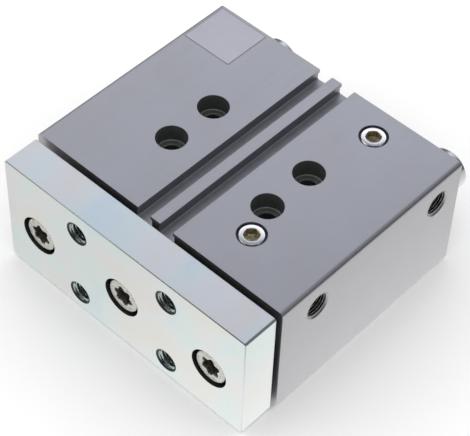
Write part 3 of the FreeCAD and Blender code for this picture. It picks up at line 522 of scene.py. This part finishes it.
def clean_mesh(mesh: Mesh, apart: float, sharp_degrees: float, flat: float = 0.0) -> None:
    """Joins a mesh's close points, shades it smooth and keeps its sharp edges.

    Args:
        mesh: The mesh.
        apart: Points nearer than this become one.
        sharp_degrees: Angle between faces from which an edge stays sharp.
        flat: Faces that meet at fewer degrees become one; with 0 the faces are turned outward instead.
    """
    work = bmesh.new()
    work.from_mesh(mesh)
    bmesh.ops.remove_doubles(work, verts=work.verts, dist=apart)
    if flat:
        bmesh.ops.dissolve_limit(work, angle_limit=math.radians(flat), verts=work.verts, edges=work.edges)
    else:
        bmesh.ops.recalc_face_normals(work, faces=work.faces)
    work.to_mesh(mesh)
    work.free()
    mesh.polygons.foreach_set("use_smooth", np.ones(len(mesh.polygons), bool))
    mesh.set_sharp_from_angle(angle=math.radians(sharp_degrees))


def shaped_object(name: str, vertices: np.ndarray, faces: list[list[int]], sharp_degrees: float = 32.0) -> Object:
    """Makes a closed surface an object, with its faces pointing out and its edges sharp past an angle.

    Args:
        name: The object's name.
        vertices: Points, in metres.
        faces: Vertex numbers.
        sharp_degrees: Angle between faces from which an edge stays sharp.

    Returns:
        The object, at the origin.
    """
    mesh = bpy.data.meshes.new(name)
    mesh.from_pydata(vertices.tolist(), [], faces)
    clean_mesh(mesh, apart=0.0001 * MM, sharp_degrees=sharp_degrees)
    return add_object(name, mesh)


def cylinder_cutter(name: str, radius: float, ends: tuple[float, float], origin: Vector, heading: Heading,
                    columns: int) -> Object:
    """A closed cylinder between two stations, for cutting a hole."""
    profile = [(ends[0], 0.0), (ends[0], radius), (ends[1], radius), (ends[1], 0.0)]
    return shaped_object(name, *lathe(profile, columns, origin, heading))


def thread_lining(name: str, rows: Profile, wall: float, origin: Vector, heading: Heading) -> Object:
    """A ring whose inside is a thread and whose outside is a plain wall."""
    profile = rows + [(rows[-1][0], wall), (rows[0][0], wall)]
    return shaped_object(name, *lathe(profile, len(rows[0][1]), origin, heading, loop=True), THREAD_SHARP)


def finish_piece(piece: Object, finish: Finish, body: str, nodes: tuple[str, ...] = (),
                 inner: dict[Finish, tuple[Bore | Trench, ...]] | None = None) -> None:
    """Dresses a piece, seats it on its body and hides the nodes that it replaces.

    Args:
        piece: The object.
        finish: What it is made of.
        body: The moving body that carries it.
        nodes: Nodes that it replaces.
        inner: Finishes of faces inside the piece's bores and trenches, by finish; a later one wins.
    """
    piece.data.materials.clear()
    piece.data.materials.append(finish.material())
    centres = np.zeros(len(piece.data.polygons) * 3)
    piece.data.polygons.foreach_get("center", centres)
    chosen = np.zeros(len(piece.data.polygons), np.int32)
    for number, (inner_finish, spaces) in enumerate((inner or {}).items(), start=1):
        piece.data.materials.append(inner_finish.material())
        inside = np.any([space.holds(centres.reshape(-1, 3)) for space in spaces], axis=0)
        chosen[inside] = number
    piece.data.polygons.foreach_set("material_index", chosen)
    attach(piece, body)
    if nodes:
        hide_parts(*nodes)
    LOG.info("%s: %d faces on %s", piece.name, len(piece.data.polygons), body)


def merged_copy(node: str, name: str) -> Object:
    """Copies a node's surface and joins its loose triangles, without the shading that came with them."""
    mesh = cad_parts[node].data.copy()
    mesh.name = name
    work = bmesh.new()
    work.from_mesh(mesh)
    bmesh.ops.remove_doubles(work, verts=work.verts, dist=0.0002 * MM)
    work.to_mesh(mesh)
    work.free()
    stale = {"custom_normal", "sharp_face", "sharp_edge"}
    for attribute in [a.name for a in mesh.attributes if a.name in stale]:
        mesh.attributes.remove(mesh.attributes[attribute])
    return add_object(name, mesh)


def cut_and_soften(piece: Object, cutters: list[Object], edge: float) -> None:
    """Cuts holes in a copy, then rounds its sharp edges a little, and keeps the result as its mesh.

    Args:
        piece: The copy.
        cutters: Closed objects to take away; they are deleted afterwards.
        edge: Width of the rounding, in metres.
    """
    for cutter in cutters:
        cut = piece.modifiers.new(cutter.name, "BOOLEAN")
        cut.operation, cut.solver, cut.object = "DIFFERENCE", "EXACT", cutter
    apply_modifiers(piece)
    for cutter in cutters:
        bpy.data.objects.remove(cutter)
    clean_mesh(piece.data, apart=0.06 * MM, sharp_degrees=32.0, flat=0.6)
    soften = piece.modifiers.new("edge_break", "BEVEL")
    soften.width, soften.segments, soften.limit_method = edge, 2, "ANGLE"
    soften.angle_limit, soften.harden_normals, soften.use_clamp_overlap = math.radians(40), True, False
    apply_modifiers(piece)


def apply_modifiers(piece: Object) -> None:
    """Replaces an object's mesh by the result of its modifiers."""
    graph = bpy.context.evaluated_depsgraph_get()
    result = bpy.data.meshes.new_from_object(piece.evaluated_get(graph))
    piece.modifiers.clear()
    piece.data = result


# ---------------- sub-assemblies

@dataclass
class HousingLooks:
    """The extruded housing with its two threaded side ports and its bare label film."""

    port_stations: tuple[float, float] = (-22.75 * MM, 38.35 * MM)
    port_height: float = 38.6 * MM
    port_mouth: float = 5.15 * MM
    port_core: float = 4.283 * MM
    port_tooth: float = 0.58 * MM
    port_depth: float = 8.0 * MM
    port_crest: float = 0.4 * MM
    first_turn: float = 0.45 * MM
    thread_tip: float = 0.05 * MM
    upper_mouth: float = 5.25 * MM
    upper_chamfer: float = 0.4 * MM
    upper_shade_reach: float = 0.6 * MM
    upper_depth: float = 9.0 * MM
    lining: float = 0.15 * MM
    edge_break: float = 0.12 * MM
    slot_xs: tuple[float, float] = (-5.1 * MM, 5.1 * MM)
    slot_half: float = 3.55 * MM
    slot_depth: float = 5.0 * MM
    slot_foot: float = 0.5 * MM
    slot_rim: float = 0.14 * MM
    slot_bed: tuple[float, float] = (-0.1 * MM, 0.15 * MM)
    mount_radius: float = 5.8 * MM
    counterbore_radius: float = 5.65 * MM
    counterbore_depth: float = 7.0 * MM
    seat_radius: float = 3.8 * MM
    seat_skin: float = 0.05 * MM
    seat_chamfer: float = 0.4 * MM
    seat_round: float = 0.35 * MM
    mount_xs: tuple[float, float] = (-22.0 * MM, 22.0 * MM)
    mount_ys: tuple[float, float] = (-10.25 * MM, 10.25 * MM)
    label_corner: float = 0.6 * MM
    label_bevel: float = 0.03 * MM
    label_edge: float = 0.25 * MM
    columns: int = 72

    def build(self) -> None:
        """Opens the ports to their thread's outside, softens the edges and adds threads and label."""
        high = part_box("housing")[1]
        sides = [Vector((high.x, station, self.port_height)) for station in self.port_stations]
        upper, wall, out = self.upper_ports(high.z), self.port_mouth + self.lining, Heading.OUTWARD_RIGHT
        cutters = [cylinder_cutter(f"port_cutter_{i}", wall, (-self.port_depth, CLEAR), origin, out, self.columns)
                   for i, origin in enumerate(sides)]
        cone = [(-self.upper_chamfer, 0.0), (-self.upper_chamfer, self.upper_mouth - self.upper_chamfer),
                (0.0, self.upper_mouth), (CLEAR, self.upper_mouth), (CLEAR, 0.0)]
        cutters += [shaped_object(f"mouth_cutter_{i}", *lathe(cone, self.columns, Vector(port.mouth), port.heading))
                    for i, port in enumerate(upper)]
        housing = merged_copy("housing", "extruded_housing")
        cut_and_soften(housing, cutters, self.edge_break)
        floor, seat = high.z - self.slot_depth, high.z - self.counterbore_depth
        finish_piece(housing, HOUSING_FINISH, "housing", ("housing",), {
            # painted shade on the slot walls
            SLOT_WALL_PAINTED_SHADE: self.slots(floor + self.slot_foot, high.z - self.slot_rim),
            # painted brightening on the slot floors
            SLOT_FLOOR_PAINTED_LIGHT: self.slots(floor + self.slot_bed[0], floor + self.slot_bed[1]),
            # painted shade inside the mounting holes
            BORE_PAINTED_SHADE: self.mounts(high.z, self.mount_radius, high.z),
            # painted highlight on the through-holes' chamfers
            SEAT_PAINTED_HIGHLIGHT: self.mounts(seat - self.seat_skin, self.seat_radius, self.seat_chamfer),
            # painted shade round the plugs
            PORT_MOUTH_PAINTED_SHADE: upper})
        self.seat_corners(seat)
        for name, origin in zip(("front", "rear"), sides):
            self.port_thread(origin, f"{name}_port_thread", wall - LAP)
        self.label()

    def slots(self, bottom: float, top: float) -> tuple[Trench, ...]:
        """The insides of the two sensor slots between two heights."""
        low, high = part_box("housing")
        return tuple(Trench((x - self.slot_half, low.y - CLEAR, bottom), (x + self.slot_half, high.y + CLEAR, top))
                     for x in self.slot_xs)

    def mounts(self, mouth: float, radius: float, depth: float) -> tuple[Bore, ...]:
        """Round spaces on the middle lines of the four mounting holes, down from a height."""
        return tuple(Bore((x, y, mouth), Heading.UPWARD, radius, depth)
                     for x in self.mount_xs for y in self.mount_ys)

    def upper_ports(self, top: float) -> tuple[Bore, ...]:
        """The spaces of painted shade in the upper ports, round their plugs."""
        low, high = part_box("port_plugs")
        x, radius = (low.x + high.x) / 2, (high.x - low.x) / 2
        return tuple(Bore((x, y, top), Heading.UPWARD, radius + self.upper_shade_reach, self.upper_depth)
                     for y in (low.y + radius, high.y - radius))

    def seat_corners(self, seat: float) -> None:
        """The round that the cutter's corner leaves between a counterbore's floor and its wall, as a ring."""
        radius, buried = self.counterbore_radius, 0.02 * MM
        profile: Profile = [(-buried, radius - self.seat_round)]
        profile += rounded_corner(radius, self.seat_round)
        profile += [(self.seat_round, radius + buried), (-buried, radius + buried)]
        for number, space in enumerate(self.mounts(seat, radius, self.seat_round)):
            surface = lathe(profile, self.columns, Vector(space.mouth), space.heading, loop=True)
            ring = shaped_object(f"counterbore_corner_{number}", *surface)
            # the corner ring carries the painted highlight
            finish_piece(ring, SEAT_PAINTED_HIGHLIGHT, "housing")

    def port_thread(self, origin: Vector, name: str, wall: float) -> None:
        """The threaded wall of a port, a ring from its countersunk mouth to its floor."""
        rows = thread_rows(0.0, -self.port_depth + 0.01 * MM, PIPE_PITCH, self.port_core, self.port_tooth,
                           self.columns, mouth=self.port_mouth)
        ring = thread_lining(name, rows, wall, origin, Heading.OUTWARD_RIGHT)
        start = tuple(origin - Vector((self.port_crest, 0, 0)))
        deep, first, tips = (Bore(start, Heading.OUTWARD_RIGHT, radius, depth) for radius, depth in (
            (wall, self.port_depth), (wall, self.first_turn), (self.port_core + self.thread_tip, self.port_depth)))
        # painted shade on the deeper turns, painted highlight on the first turn and the thread tips
        finish_piece(ring, HOUSING_FINISH, "housing", (),
                     {PORT_THREAD_PAINTED_SHADE: (deep,), CREST_PAINTED_HIGHLIGHT: (first, tips)})

    def label(self) -> None:
        """A bare film with rounded corners: outline points at a corner centre plus radius * (cos, sin)."""
        low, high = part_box("type_label")
        corner = self.label_corner
        quarter = np.linspace(0.0, math.pi / 2, 9)
        turn = np.concatenate([quarter + k * math.pi / 2 for k in range(4)])
        centre_x = np.repeat([high.x - corner, low.x + corner, low.x + corner, high.x - corner], len(quarter))
        centre_y = np.repeat([high.y - corner, high.y - corner, low.y + corner, low.y + corner], len(quarter))
        rows = np.concatenate([
            np.stack([centre_x + (corner - shrink) * np.cos(turn), centre_y + (corner - shrink) * np.sin(turn),
                      np.full(len(turn), height)], axis=-1)
            for shrink, height in ((0.0, low.z), (0.0, high.z - self.label_bevel), (self.label_bevel, high.z),
                                   (self.label_edge, high.z))])
        count = len(turn)
        faces = grid_faces(4, count, False).tolist()
        faces += [list(range(count))[::-1], list(range(3 * count, 4 * count))]
        film = shaped_object("bare_label_film", rows, faces)
        within = Vector((self.label_edge, self.label_edge, 0))
        face = Trench(tuple(low + within), tuple(high - within + Vector((0, 0, CLEAR))))
        finish_piece(film, LABEL_EDGE_FINISH, "housing", ("type_label",), {LABEL_FINISH: (face,)})


@dataclass
class YokeLooks:
    """The zinc-plated yoke plate with its four threaded holes and its three six-lobe screws."""

    thread_places: tuple[tuple[float, float], ...] = tuple(
        (x * MM, z * MM) for x in (-20.6, 20.6) for z in (8.5, 39.5))
    thread_mouth: float = 4.5 * MM
    thread_core: float = 3.35 * MM
    thread_tooth: float = 0.65 * MM
    thread_shade: float = 0.5 * MM
    counterbore_radius: float = 7.7 * MM
    counterbore_depth: float = 7.5 * MM
    head_radius: float = 6.5 * MM
    head_height: float = 6.5 * MM
    head_round: float = 0.5 * MM
    head_chamfer: float = 0.2 * MM
    neck_fillet: float = 0.3 * MM
    head_recess: float = 0.8 * MM
    shank_radius: float = 4.0 * MM
    shank_core: float = 3.35 * MM
    shank_tooth: float = 0.6 * MM
    shank_end: float = 3.1 * MM
    plain_shank: float = 1.5 * MM
    tip_chamfer: float = 0.8 * MM
    recess_tip: float = 3.975 * MM
    recess_lobe: float = 1.15 * MM
    recess_depth: float = 3.2 * MM
    recess_point: float = 0.6 * MM
    recess_floor_inset: float = 0.25 * MM
    recess_lead: float = 0.35 * MM
    recess_flare: float = 0.3 * MM
    recess_margin: float = 0.1 * MM
    drive_turns: tuple[float, ...] = (0.75, 0.82, 0.42)
    lining: float = 0.15 * MM
    edge_break: float = 0.1 * MM
    columns: int = 72

    def build(self) -> None:
        """Opens the threaded holes, softens the edges, and adds threads and screws."""
        low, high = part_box("yoke_plate")
        thickness, wall = high.y - low.y, self.thread_mouth + self.lining
        places = [Vector((x, high.y, z)) for x, z in self.thread_places]
        plate = merged_copy("yoke_plate", "zinc_plated_yoke")
        cutters = [cylinder_cutter(f"thread_cutter_{i}", wall, (-CLEAR, thickness + CLEAR), place, Heading.FORWARD,
                                   self.columns) for i, place in enumerate(places)]
        cut_and_soften(plate, cutters, self.edge_break)
        bores = tuple(Bore((x, low.y, z), Heading.FORWARD, self.counterbore_radius, self.counterbore_depth)
                      for x, z in self.screw_places())
        # painted shade in the counterbores
        finish_piece(plate, YOKE_FINISH, "slide", ("yoke_plate",), {YOKE_BORE_PAINTED_SHADE: bores})
        for number, place in enumerate(places):
            self.thread(place, thickness, f"yoke_thread_{number}", wall - LAP)
        self.screws(low.y + self.head_recess)

    def thread(self, place: Vector, thickness: float, name: str, wall: float) -> None:
        """The threaded wall of a through hole, a ring with a countersink at both ends."""
        rows = thread_rows(0.0, thickness, COARSE_PITCH, self.thread_core, self.thread_tooth, self.columns,
                           mouth=self.thread_mouth, end_mouth=self.thread_mouth)
        ring = thread_lining(name, rows, wall, place, Heading.FORWARD)
        start = tuple(place + Vector((0, self.thread_shade - thickness, 0)))
        inside = Bore(start, Heading.FORWARD, wall, thickness - 2 * self.thread_shade)
        # painted shade on the countersunk ends, with the thread's own finish between them
        finish_piece(ring, YOKE_BORE_PAINTED_SHADE, "slide", (), {THREAD_FINISH: (inside,)})

    def screw_places(self) -> list[tuple[float, float]]:
        """Across and height of the left, middle and right screws."""
        guide_low, guide_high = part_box("guide_rod_screws")
        piston_low, piston_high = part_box("piston_rod_screw")
        guide_x = guide_high.x - self.head_radius
        guide_z = (guide_low.z + guide_high.z) / 2
        return [(-guide_x, guide_z), (0.0, (piston_low.z + piston_high.z) / 2), (guide_x, guide_z)]

    def screws(self, head_face: float) -> None:
        """Builds the two guide-rod screws and the piston-rod screw."""
        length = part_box("guide_rod_screws")[1].y - head_face
        stands_for = (("guide_rod_screws",), ("piston_rod_screw",), ())
        parts = zip(("left", "middle", "right"), self.screw_places(), self.drive_turns, stands_for)
        for name, (x, z), turn, nodes in parts:
            screw = self.screw(f"{name}_yoke_screw", Vector((x, head_face, z)), length, turn)
            recess = Bore((x, head_face, z), Heading.FORWARD, self.recess_tip + self.recess_margin,
                          self.recess_depth + CLEAR)
            # painted shade in the drive recess
            finish_piece(screw, SCREW_FINISH, "slide", nodes, {RECESS_PAINTED_SHADE: (recess,)})

    def screw(self, name: str, origin: Vector, length: float, turn: float) -> Object:
        """One cylinder-head screw with a six-lobe drive.

        The drive's radius at angle a is tip - lobe * (1 - cos(6 (a + turn))) / 2, so it has six
        round lobes.

        Args:
            name: The object's name.
            origin: Centre of the head's outer face.
            length: From that face to the tip.
            turn: How far the drive is turned, in radians.

        Returns:
            The screw.
        """
        lobes = self.recess_tip - self.recess_lobe * (1 - np.cos(6 * (around(self.columns) + turn))) / 2
        depth, head, radius, shank = self.recess_depth, self.head_height, self.head_radius, self.shank_radius
        chamfer, fillet = self.head_chamfer, self.neck_fillet
        profile: Profile = [
            (depth + self.recess_point, 0.0), (depth, 0.9 * lobes - self.recess_floor_inset),
            (depth - self.recess_margin, 0.95 * lobes), (self.recess_lead, lobes), (0.0, lobes + self.recess_flare)]
        profile += rounded_corner(radius, self.head_round)
        profile += [(head - chamfer, radius), (head, radius - chamfer), (head, shank + fillet),
                    (head + fillet, shank)]
        profile += thread_rows(head + self.plain_shank, length - self.tip_chamfer, COARSE_PITCH, self.shank_core,
                               self.shank_tooth, self.columns)
        profile += [(length, self.shank_end), (length, 0.0)]
        return shaped_object(name, *lathe(profile, self.columns, origin, Heading.REARWARD))


@dataclass
class PlugLooks:
    """The two hexagon-socket plugs that close the upper ports."""

    outer: float = 4.865 * MM
    edge_chamfer: float = 0.6 * MM
    thread_core: float = 4.365 * MM
    thread_tooth: float = 0.45 * MM
    bottom: float = 3.965 * MM
    socket_flats: float = 5.0 * MM
    socket_depth: float = 2.4 * MM
    socket_point: float = 0.7 * MM
    socket_lead: float = 0.2 * MM
    socket_flare: float = 0.1 * MM
    mouth_share: float = 1.12
    face_round: tuple[float, float] = (0.03 * MM, 0.1 * MM)
    bottom_chamfer: float = 0.8 * MM
    socket_turn: float = math.radians(45)
    raised: float = 0.3 * MM
    columns: int = 96

    def build(self) -> None:
        """Builds both plugs where the port_plugs node has its two ends."""
        low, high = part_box("port_plugs")
        x, top = (low.x + high.x) / 2, high.z + self.raised
        for name, y, nodes in (("front", low.y + self.outer, ("port_plugs",)), ("rear", high.y - self.outer, ())):
            plug = self.plug(f"{name}_port_plug", Vector((x, y, top)), top - low.z)
            socket = Bore((x, y, top), Heading.UPWARD, self.socket_flats * 0.6, self.socket_depth + CLEAR)
            finish_piece(plug, PLUG_FINISH, "housing", nodes, {SOCKET_FINISH: (socket,)})

    def plug(self, name: str, origin: Vector, length: float) -> Object:
        """One plug; its socket's radius at angle a is half the flats over cos(a mod 60 - 30 degrees).

        Args:
            name: The object's name.
            origin: Centre of its top face.
            length: From top to bottom.

        Returns:
            The plug.
        """
        sector = (around(self.columns) - self.socket_turn) % (math.pi / 3) - math.pi / 6
        hexagon = self.socket_flats / 2 / np.cos(sector)
        mouth = np.maximum(hexagon + self.socket_flare, self.socket_flats / 2 * self.mouth_share)
        depth, chamfer, (drop, inset) = self.socket_depth, self.edge_chamfer, self.face_round
        face = self.outer - chamfer
        profile: Profile = [
            (-depth - self.socket_point, 0.0), (-depth, hexagon * 0.8), (-depth + 0.05 * MM, hexagon * 0.98),
            (-self.socket_lead, hexagon), (0.0, mouth),
            (0.0, face - inset), (-drop, face), (-chamfer, self.outer - drop)]
        profile += thread_rows(-chamfer - inset, -length + self.bottom_chamfer, PIPE_PITCH, self.thread_core,
                               self.thread_tooth, self.columns)
        profile += [(-length, self.bottom), (-length, 0.0)]
        return shaped_object(name, *lathe(profile, self.columns, origin, Heading.UPWARD), 20.0)


@dataclass
class RodLooks:
    """The two hard-chromed guide rods and the piston rod, with their tapped front ends."""

    chamfer: float = 1.0 * MM
    chamfer_round: float = 0.15 * MM
    front_round: float = 0.3 * MM
    tapped: float = 4.05 * MM
    tapped_depth: float = 19.0 * MM
    columns: int = 96

    def build(self) -> None:
        """Builds the guide rods; the piston rod keeps its own shape and gets its finish."""
        for side in ("left", "right"):
            rod = self.rod(f"chromed_guide_rod_{side}", *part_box(f"guide_rod_{side}"))
            finish_piece(rod, CHROME_GUIDE, "slide", (f"guide_rod_{side}",))
        dress_node("piston_rod", CHROME_PISTON)

    def rod(self, name: str, low: Vector, high: Vector) -> Object:
        """One rod between two box corners, with a softened chamfer at its rear end."""
        radius, length = (high.x - low.x) / 2, high.y - low.y
        origin = Vector(((low.x + high.x) / 2, low.y, (low.z + high.z) / 2))
        c, r = self.chamfer, self.chamfer_round
        profile: Profile = [
            (self.tapped_depth, 0.0), (self.tapped_depth, self.tapped), (0.0, self.tapped)]
        profile += rounded_corner(radius, self.front_round)
        profile += [(length - c - r, radius), (length - c, radius - 0.3 * r), (length - c + 0.7 * r, radius - r),
                    (length - 0.7 * r, radius - c + 0.3 * r), (length - 0.2 * r, radius - c - 0.4 * r),
                    (length, radius - c - r), (length, 0.0)]
        return shaped_object(name, *lathe(profile, self.columns, origin, Heading.REARWARD))


def dress_node(node: str, finish: Finish) -> None:
    """Gives a carried-over node its finish."""
    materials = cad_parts[node].data.materials
    for index in range(len(materials)):
        materials[index] = finish.material()


# ---------------- studio

@dataclass
class Studio:
    """A pale floor under soft light, and the camera.

    Each lamp has a name, a place, a size and a power. Each panel lies one way in the mirrored sky
    and has its range: how far a direction points that way, from edge to middle, and the brightness
    at both.
    """

    azimuth: float = 41.3015
    elevation: float = 49.1672
    roll: float = 2.3903
    distance: float = 589.84 * MM
    target: Point = (12.052 * MM, -14.847 * MM, 39.771 * MM)
    lens: float = 135.58
    floor_size: float = 6.0
    lamps: tuple[tuple[str, Point, float, float], ...] = (
        ("key", (0.05, -0.05, 1.1), 0.6, 1.0), ("fill", (-0.7, -0.6, 0.6), 0.7, 0.8))
    panels: tuple[tuple[Point, tuple[float, float, float, float]], ...] = (
        ((-0.45, 0.89, 0.0), (0.4, 0.9, 0.62, 1.52)), ((0.55, 0.49, 0.677), (0.62, 0.9, 1.0, 0.7)),
        ((0.43, -0.49, 0.757), (0.7, 0.86, 1.0, 0.12)))

    def build(self) -> None:
        """Builds the floor, the sky, the lamps and the camera."""
        self.floor()
        self.sky()
        for name, place, size, power in self.lamps:
            self.lamp(name, Vector(place), size, power)
        self.camera()
        bpy.context.scene.view_settings.view_transform = "Standard"

    def floor(self) -> None:
        """A plain floor: white paper to the camera, greyer to the light, and a glowing sheet with painted light and
        shadow to mirrors.
        """
        half, level = self.floor_size / 2, CAD_BOX[0][2]
        mesh = bpy.data.meshes.new("floor")
        corners = [(-half, -half, level), (half, -half, level), (half, half, level), (-half, half, level)]
        mesh.from_pydata(corners, [], [(0, 1, 2, 3)])
        material = bpy.data.materials.new("white_paper_floor")
        add = partial(add_node, empty_tree(material))
        path = add("LightPath")
        colour = add("Mix", {"data_type": "RGBA", 6: linear("#E6E6E4"), 7: linear("#FFFFFF")},
                     {0: path.outputs["Is Camera Ray"]}).outputs[2]
        paper = add("BsdfDiffuse", links={"Color": colour})
        mirrored = self.mirrored_floor(add, level)
        surface = add("MixShader", links={0: path.outputs["Is Glossy Ray"], 1: paper, 2: mirrored})
        add("OutputMaterial", links={"Surface": surface})
        mesh.materials.append(material)
        add_object("floor", mesh)

    def mirrored_floor(self, add: NodeAdder, level: float) -> Node:
        """What the metal mirrors of the floor: a glowing sheet seen only in reflections, with painted brightening
        near the object and painted shadow under and beside it.

        Args:
            add: add_node for the floor's tree.
            level: The floor's height.

        Returns:
            A light whose strength is the product of how bright the front, the right side, the part
            under the object and the part beside the gap's left end are.
        """
        place = add("TexCoord").outputs["Object"]
        spot = add("SeparateXYZ", links={"Vector": place})
        away = add("VectorMath", {"operation": "LENGTH"}, {0: place}).outputs["Value"]
        sheet = add("ValToRGB", {"stops": [(0.16, "#FFFFFF"), (0.42, "#8A8A8C")]}, {"Fac": away})
        corner, end = (
            add("VectorMath", {"operation": "DISTANCE", 1: (*point, level)}, {0: place}).outputs["Value"]
            for point in ((0.06, -0.05), (-0.072, -0.028)))
        # painted brightening near the front right corner and to the right
        near = add("MapRange", {"range": (0.0, 0.09, 0.97, 0.75)}, {"Value": corner})
        front = add("MapRange", {"range": (-0.06, -0.025, 1.0, 1.0)}, {"Value": spot.outputs["Y"], "To Min": near})
        right = add("MapRange", {"range": (0.056, 0.088, 1.08, 0.89)}, {"Value": spot.outputs["X"]})
        wide = add("Math", {"operation": "ABSOLUTE"}, {0: spot.outputs["X"]})
        across = add("MapRange", {"range": (0.051, 0.0555, 0.15, 1.0)}, {"Value": wide})
        middle = add("Math", {"operation": "ADD", 1: 0.0032}, {0: spot.outputs["Y"]})
        long = add("Math", {"operation": "ABSOLUTE"}, {0: middle})
        along = add("MapRange", {"range": (0.048, 0.0525, 0.15, 1.0)}, {"Value": long})
        # painted shadow under the object
        under = add("Math", {"operation": "MAXIMUM"}, {0: across, 1: along})
        # painted shade beside the gap's left end
        gap = add("MapRange", {"range": (0.01, 0.034, 0.5, 1.0)}, {"Value": end})
        strength = front
        for factor in (right, under, gap):
            strength = add("Math", {"operation": "MULTIPLY"}, {0: strength, 1: factor})
        return add("Emission", links={"Color": sheet, "Strength": strength})

    def sky(self) -> None:
        """White for the camera; for reflections white overhead and darker near the horizon; plain for light."""
        world = bpy.data.worlds.new("studio_tent")
        bpy.context.scene.world = world
        add = partial(add_node, empty_tree(world))
        path = add("LightPath")
        way = add("TexCoord").outputs["Generated"]
        up = add("SeparateXYZ", links={"Vector": way}).outputs["Z"]
        tent = add("ValToRGB", {"stops": [
            (0.0, "#747476"), (0.4, "#7C7C80"), (0.62, "#F2F5FF"), (0.73, "#E3E7F6"), (0.84, "#BABDCB"),
            (1.0, "#B2B5C2")]}, {"Fac": up})
        for towards, reach in self.panels:
            facing = add("VectorMath", {"operation": "DOT_PRODUCT", 1: towards}, {0: way})
            panel = add("MapRange", {"range": reach, "interpolation_type": "SMOOTHSTEP"},
                        {"Value": facing.outputs["Value"]})
            tent = add("VectorMath", {"operation": "SCALE"}, {0: tent, "Scale": panel})
        lit = add("Mix", {"data_type": "RGBA", 6: linear("#FFFFFF")},
                  {0: path.outputs["Is Glossy Ray"], 7: tent}).outputs[2]
        seen = add("Math", {"operation": "MAXIMUM"},
                   {0: path.outputs["Is Camera Ray"], 1: path.outputs["Is Transmission Ray"]})
        colour = add("Mix", {"data_type": "RGBA", 7: linear("#FFFFFF")}, {0: seen, 6: lit}).outputs[2]
        background = add("Background", {"Strength": 1.0}, {"Color": colour})
        add("OutputWorld", links={"Surface": background})

    def lamp(self, name: str, place: Vector, size: float, power: float) -> None:
        """A square soft lamp that points at the middle of the object."""
        data = bpy.data.lights.new(name, "AREA")
        data.shape, data.size, data.energy = "SQUARE", size, power
        lamp = add_object(name, data)
        lamp.location = place
        middle = (Vector(CAD_BOX[0]) + Vector(CAD_BOX[1])) / 2
        lamp.rotation_euler = (middle - place).to_track_quat("-Z", "Y").to_euler()

    def camera(self) -> None:
        """A long-lens camera that looks down at the front right of the object, with a slight roll."""
        azimuth, elevation, roll = (math.radians(a) for a in (self.azimuth, self.elevation, self.roll))
        back = Vector((math.sin(azimuth) * math.cos(elevation), -math.cos(azimuth) * math.cos(elevation),
                       math.sin(elevation)))
        right = (-back).cross(Vector((0, 0, 1))).normalized()
        up = right.cross(-back)
        rolled_right = math.cos(roll) * right + math.sin(roll) * up
        rolled_up = math.cos(roll) * up - math.sin(roll) * right
        data = bpy.data.cameras.new("camera")
        data.sensor_fit, data.sensor_width, data.lens = "HORIZONTAL", 36.0, self.lens
        data.clip_start, data.clip_end = 0.01, 50.0
        data.dof.use_dof = False
        camera = add_object("camera", data)
        turn = Matrix((rolled_right, rolled_up, back)).transposed().to_4x4()
        camera.matrix_world = Matrix.Translation(Vector(self.target) + back * self.distance) @ turn
        bpy.context.scene.camera = camera


def main() -> None:
    """Builds the looks of each sub-assembly in order, then the studio."""
    logging.basicConfig(level=logging.INFO, format="%(name)s: %(message)s")
    for finish, nodes in CARRIED_FINISHES.items():
        for node in nodes:
            dress_node(node, finish)
    for part in (HousingLooks(), PlugLooks(), RodLooks(), YokeLooks()):
        part.build()
    Studio().build()


if __name__ == "__main__":
    main()
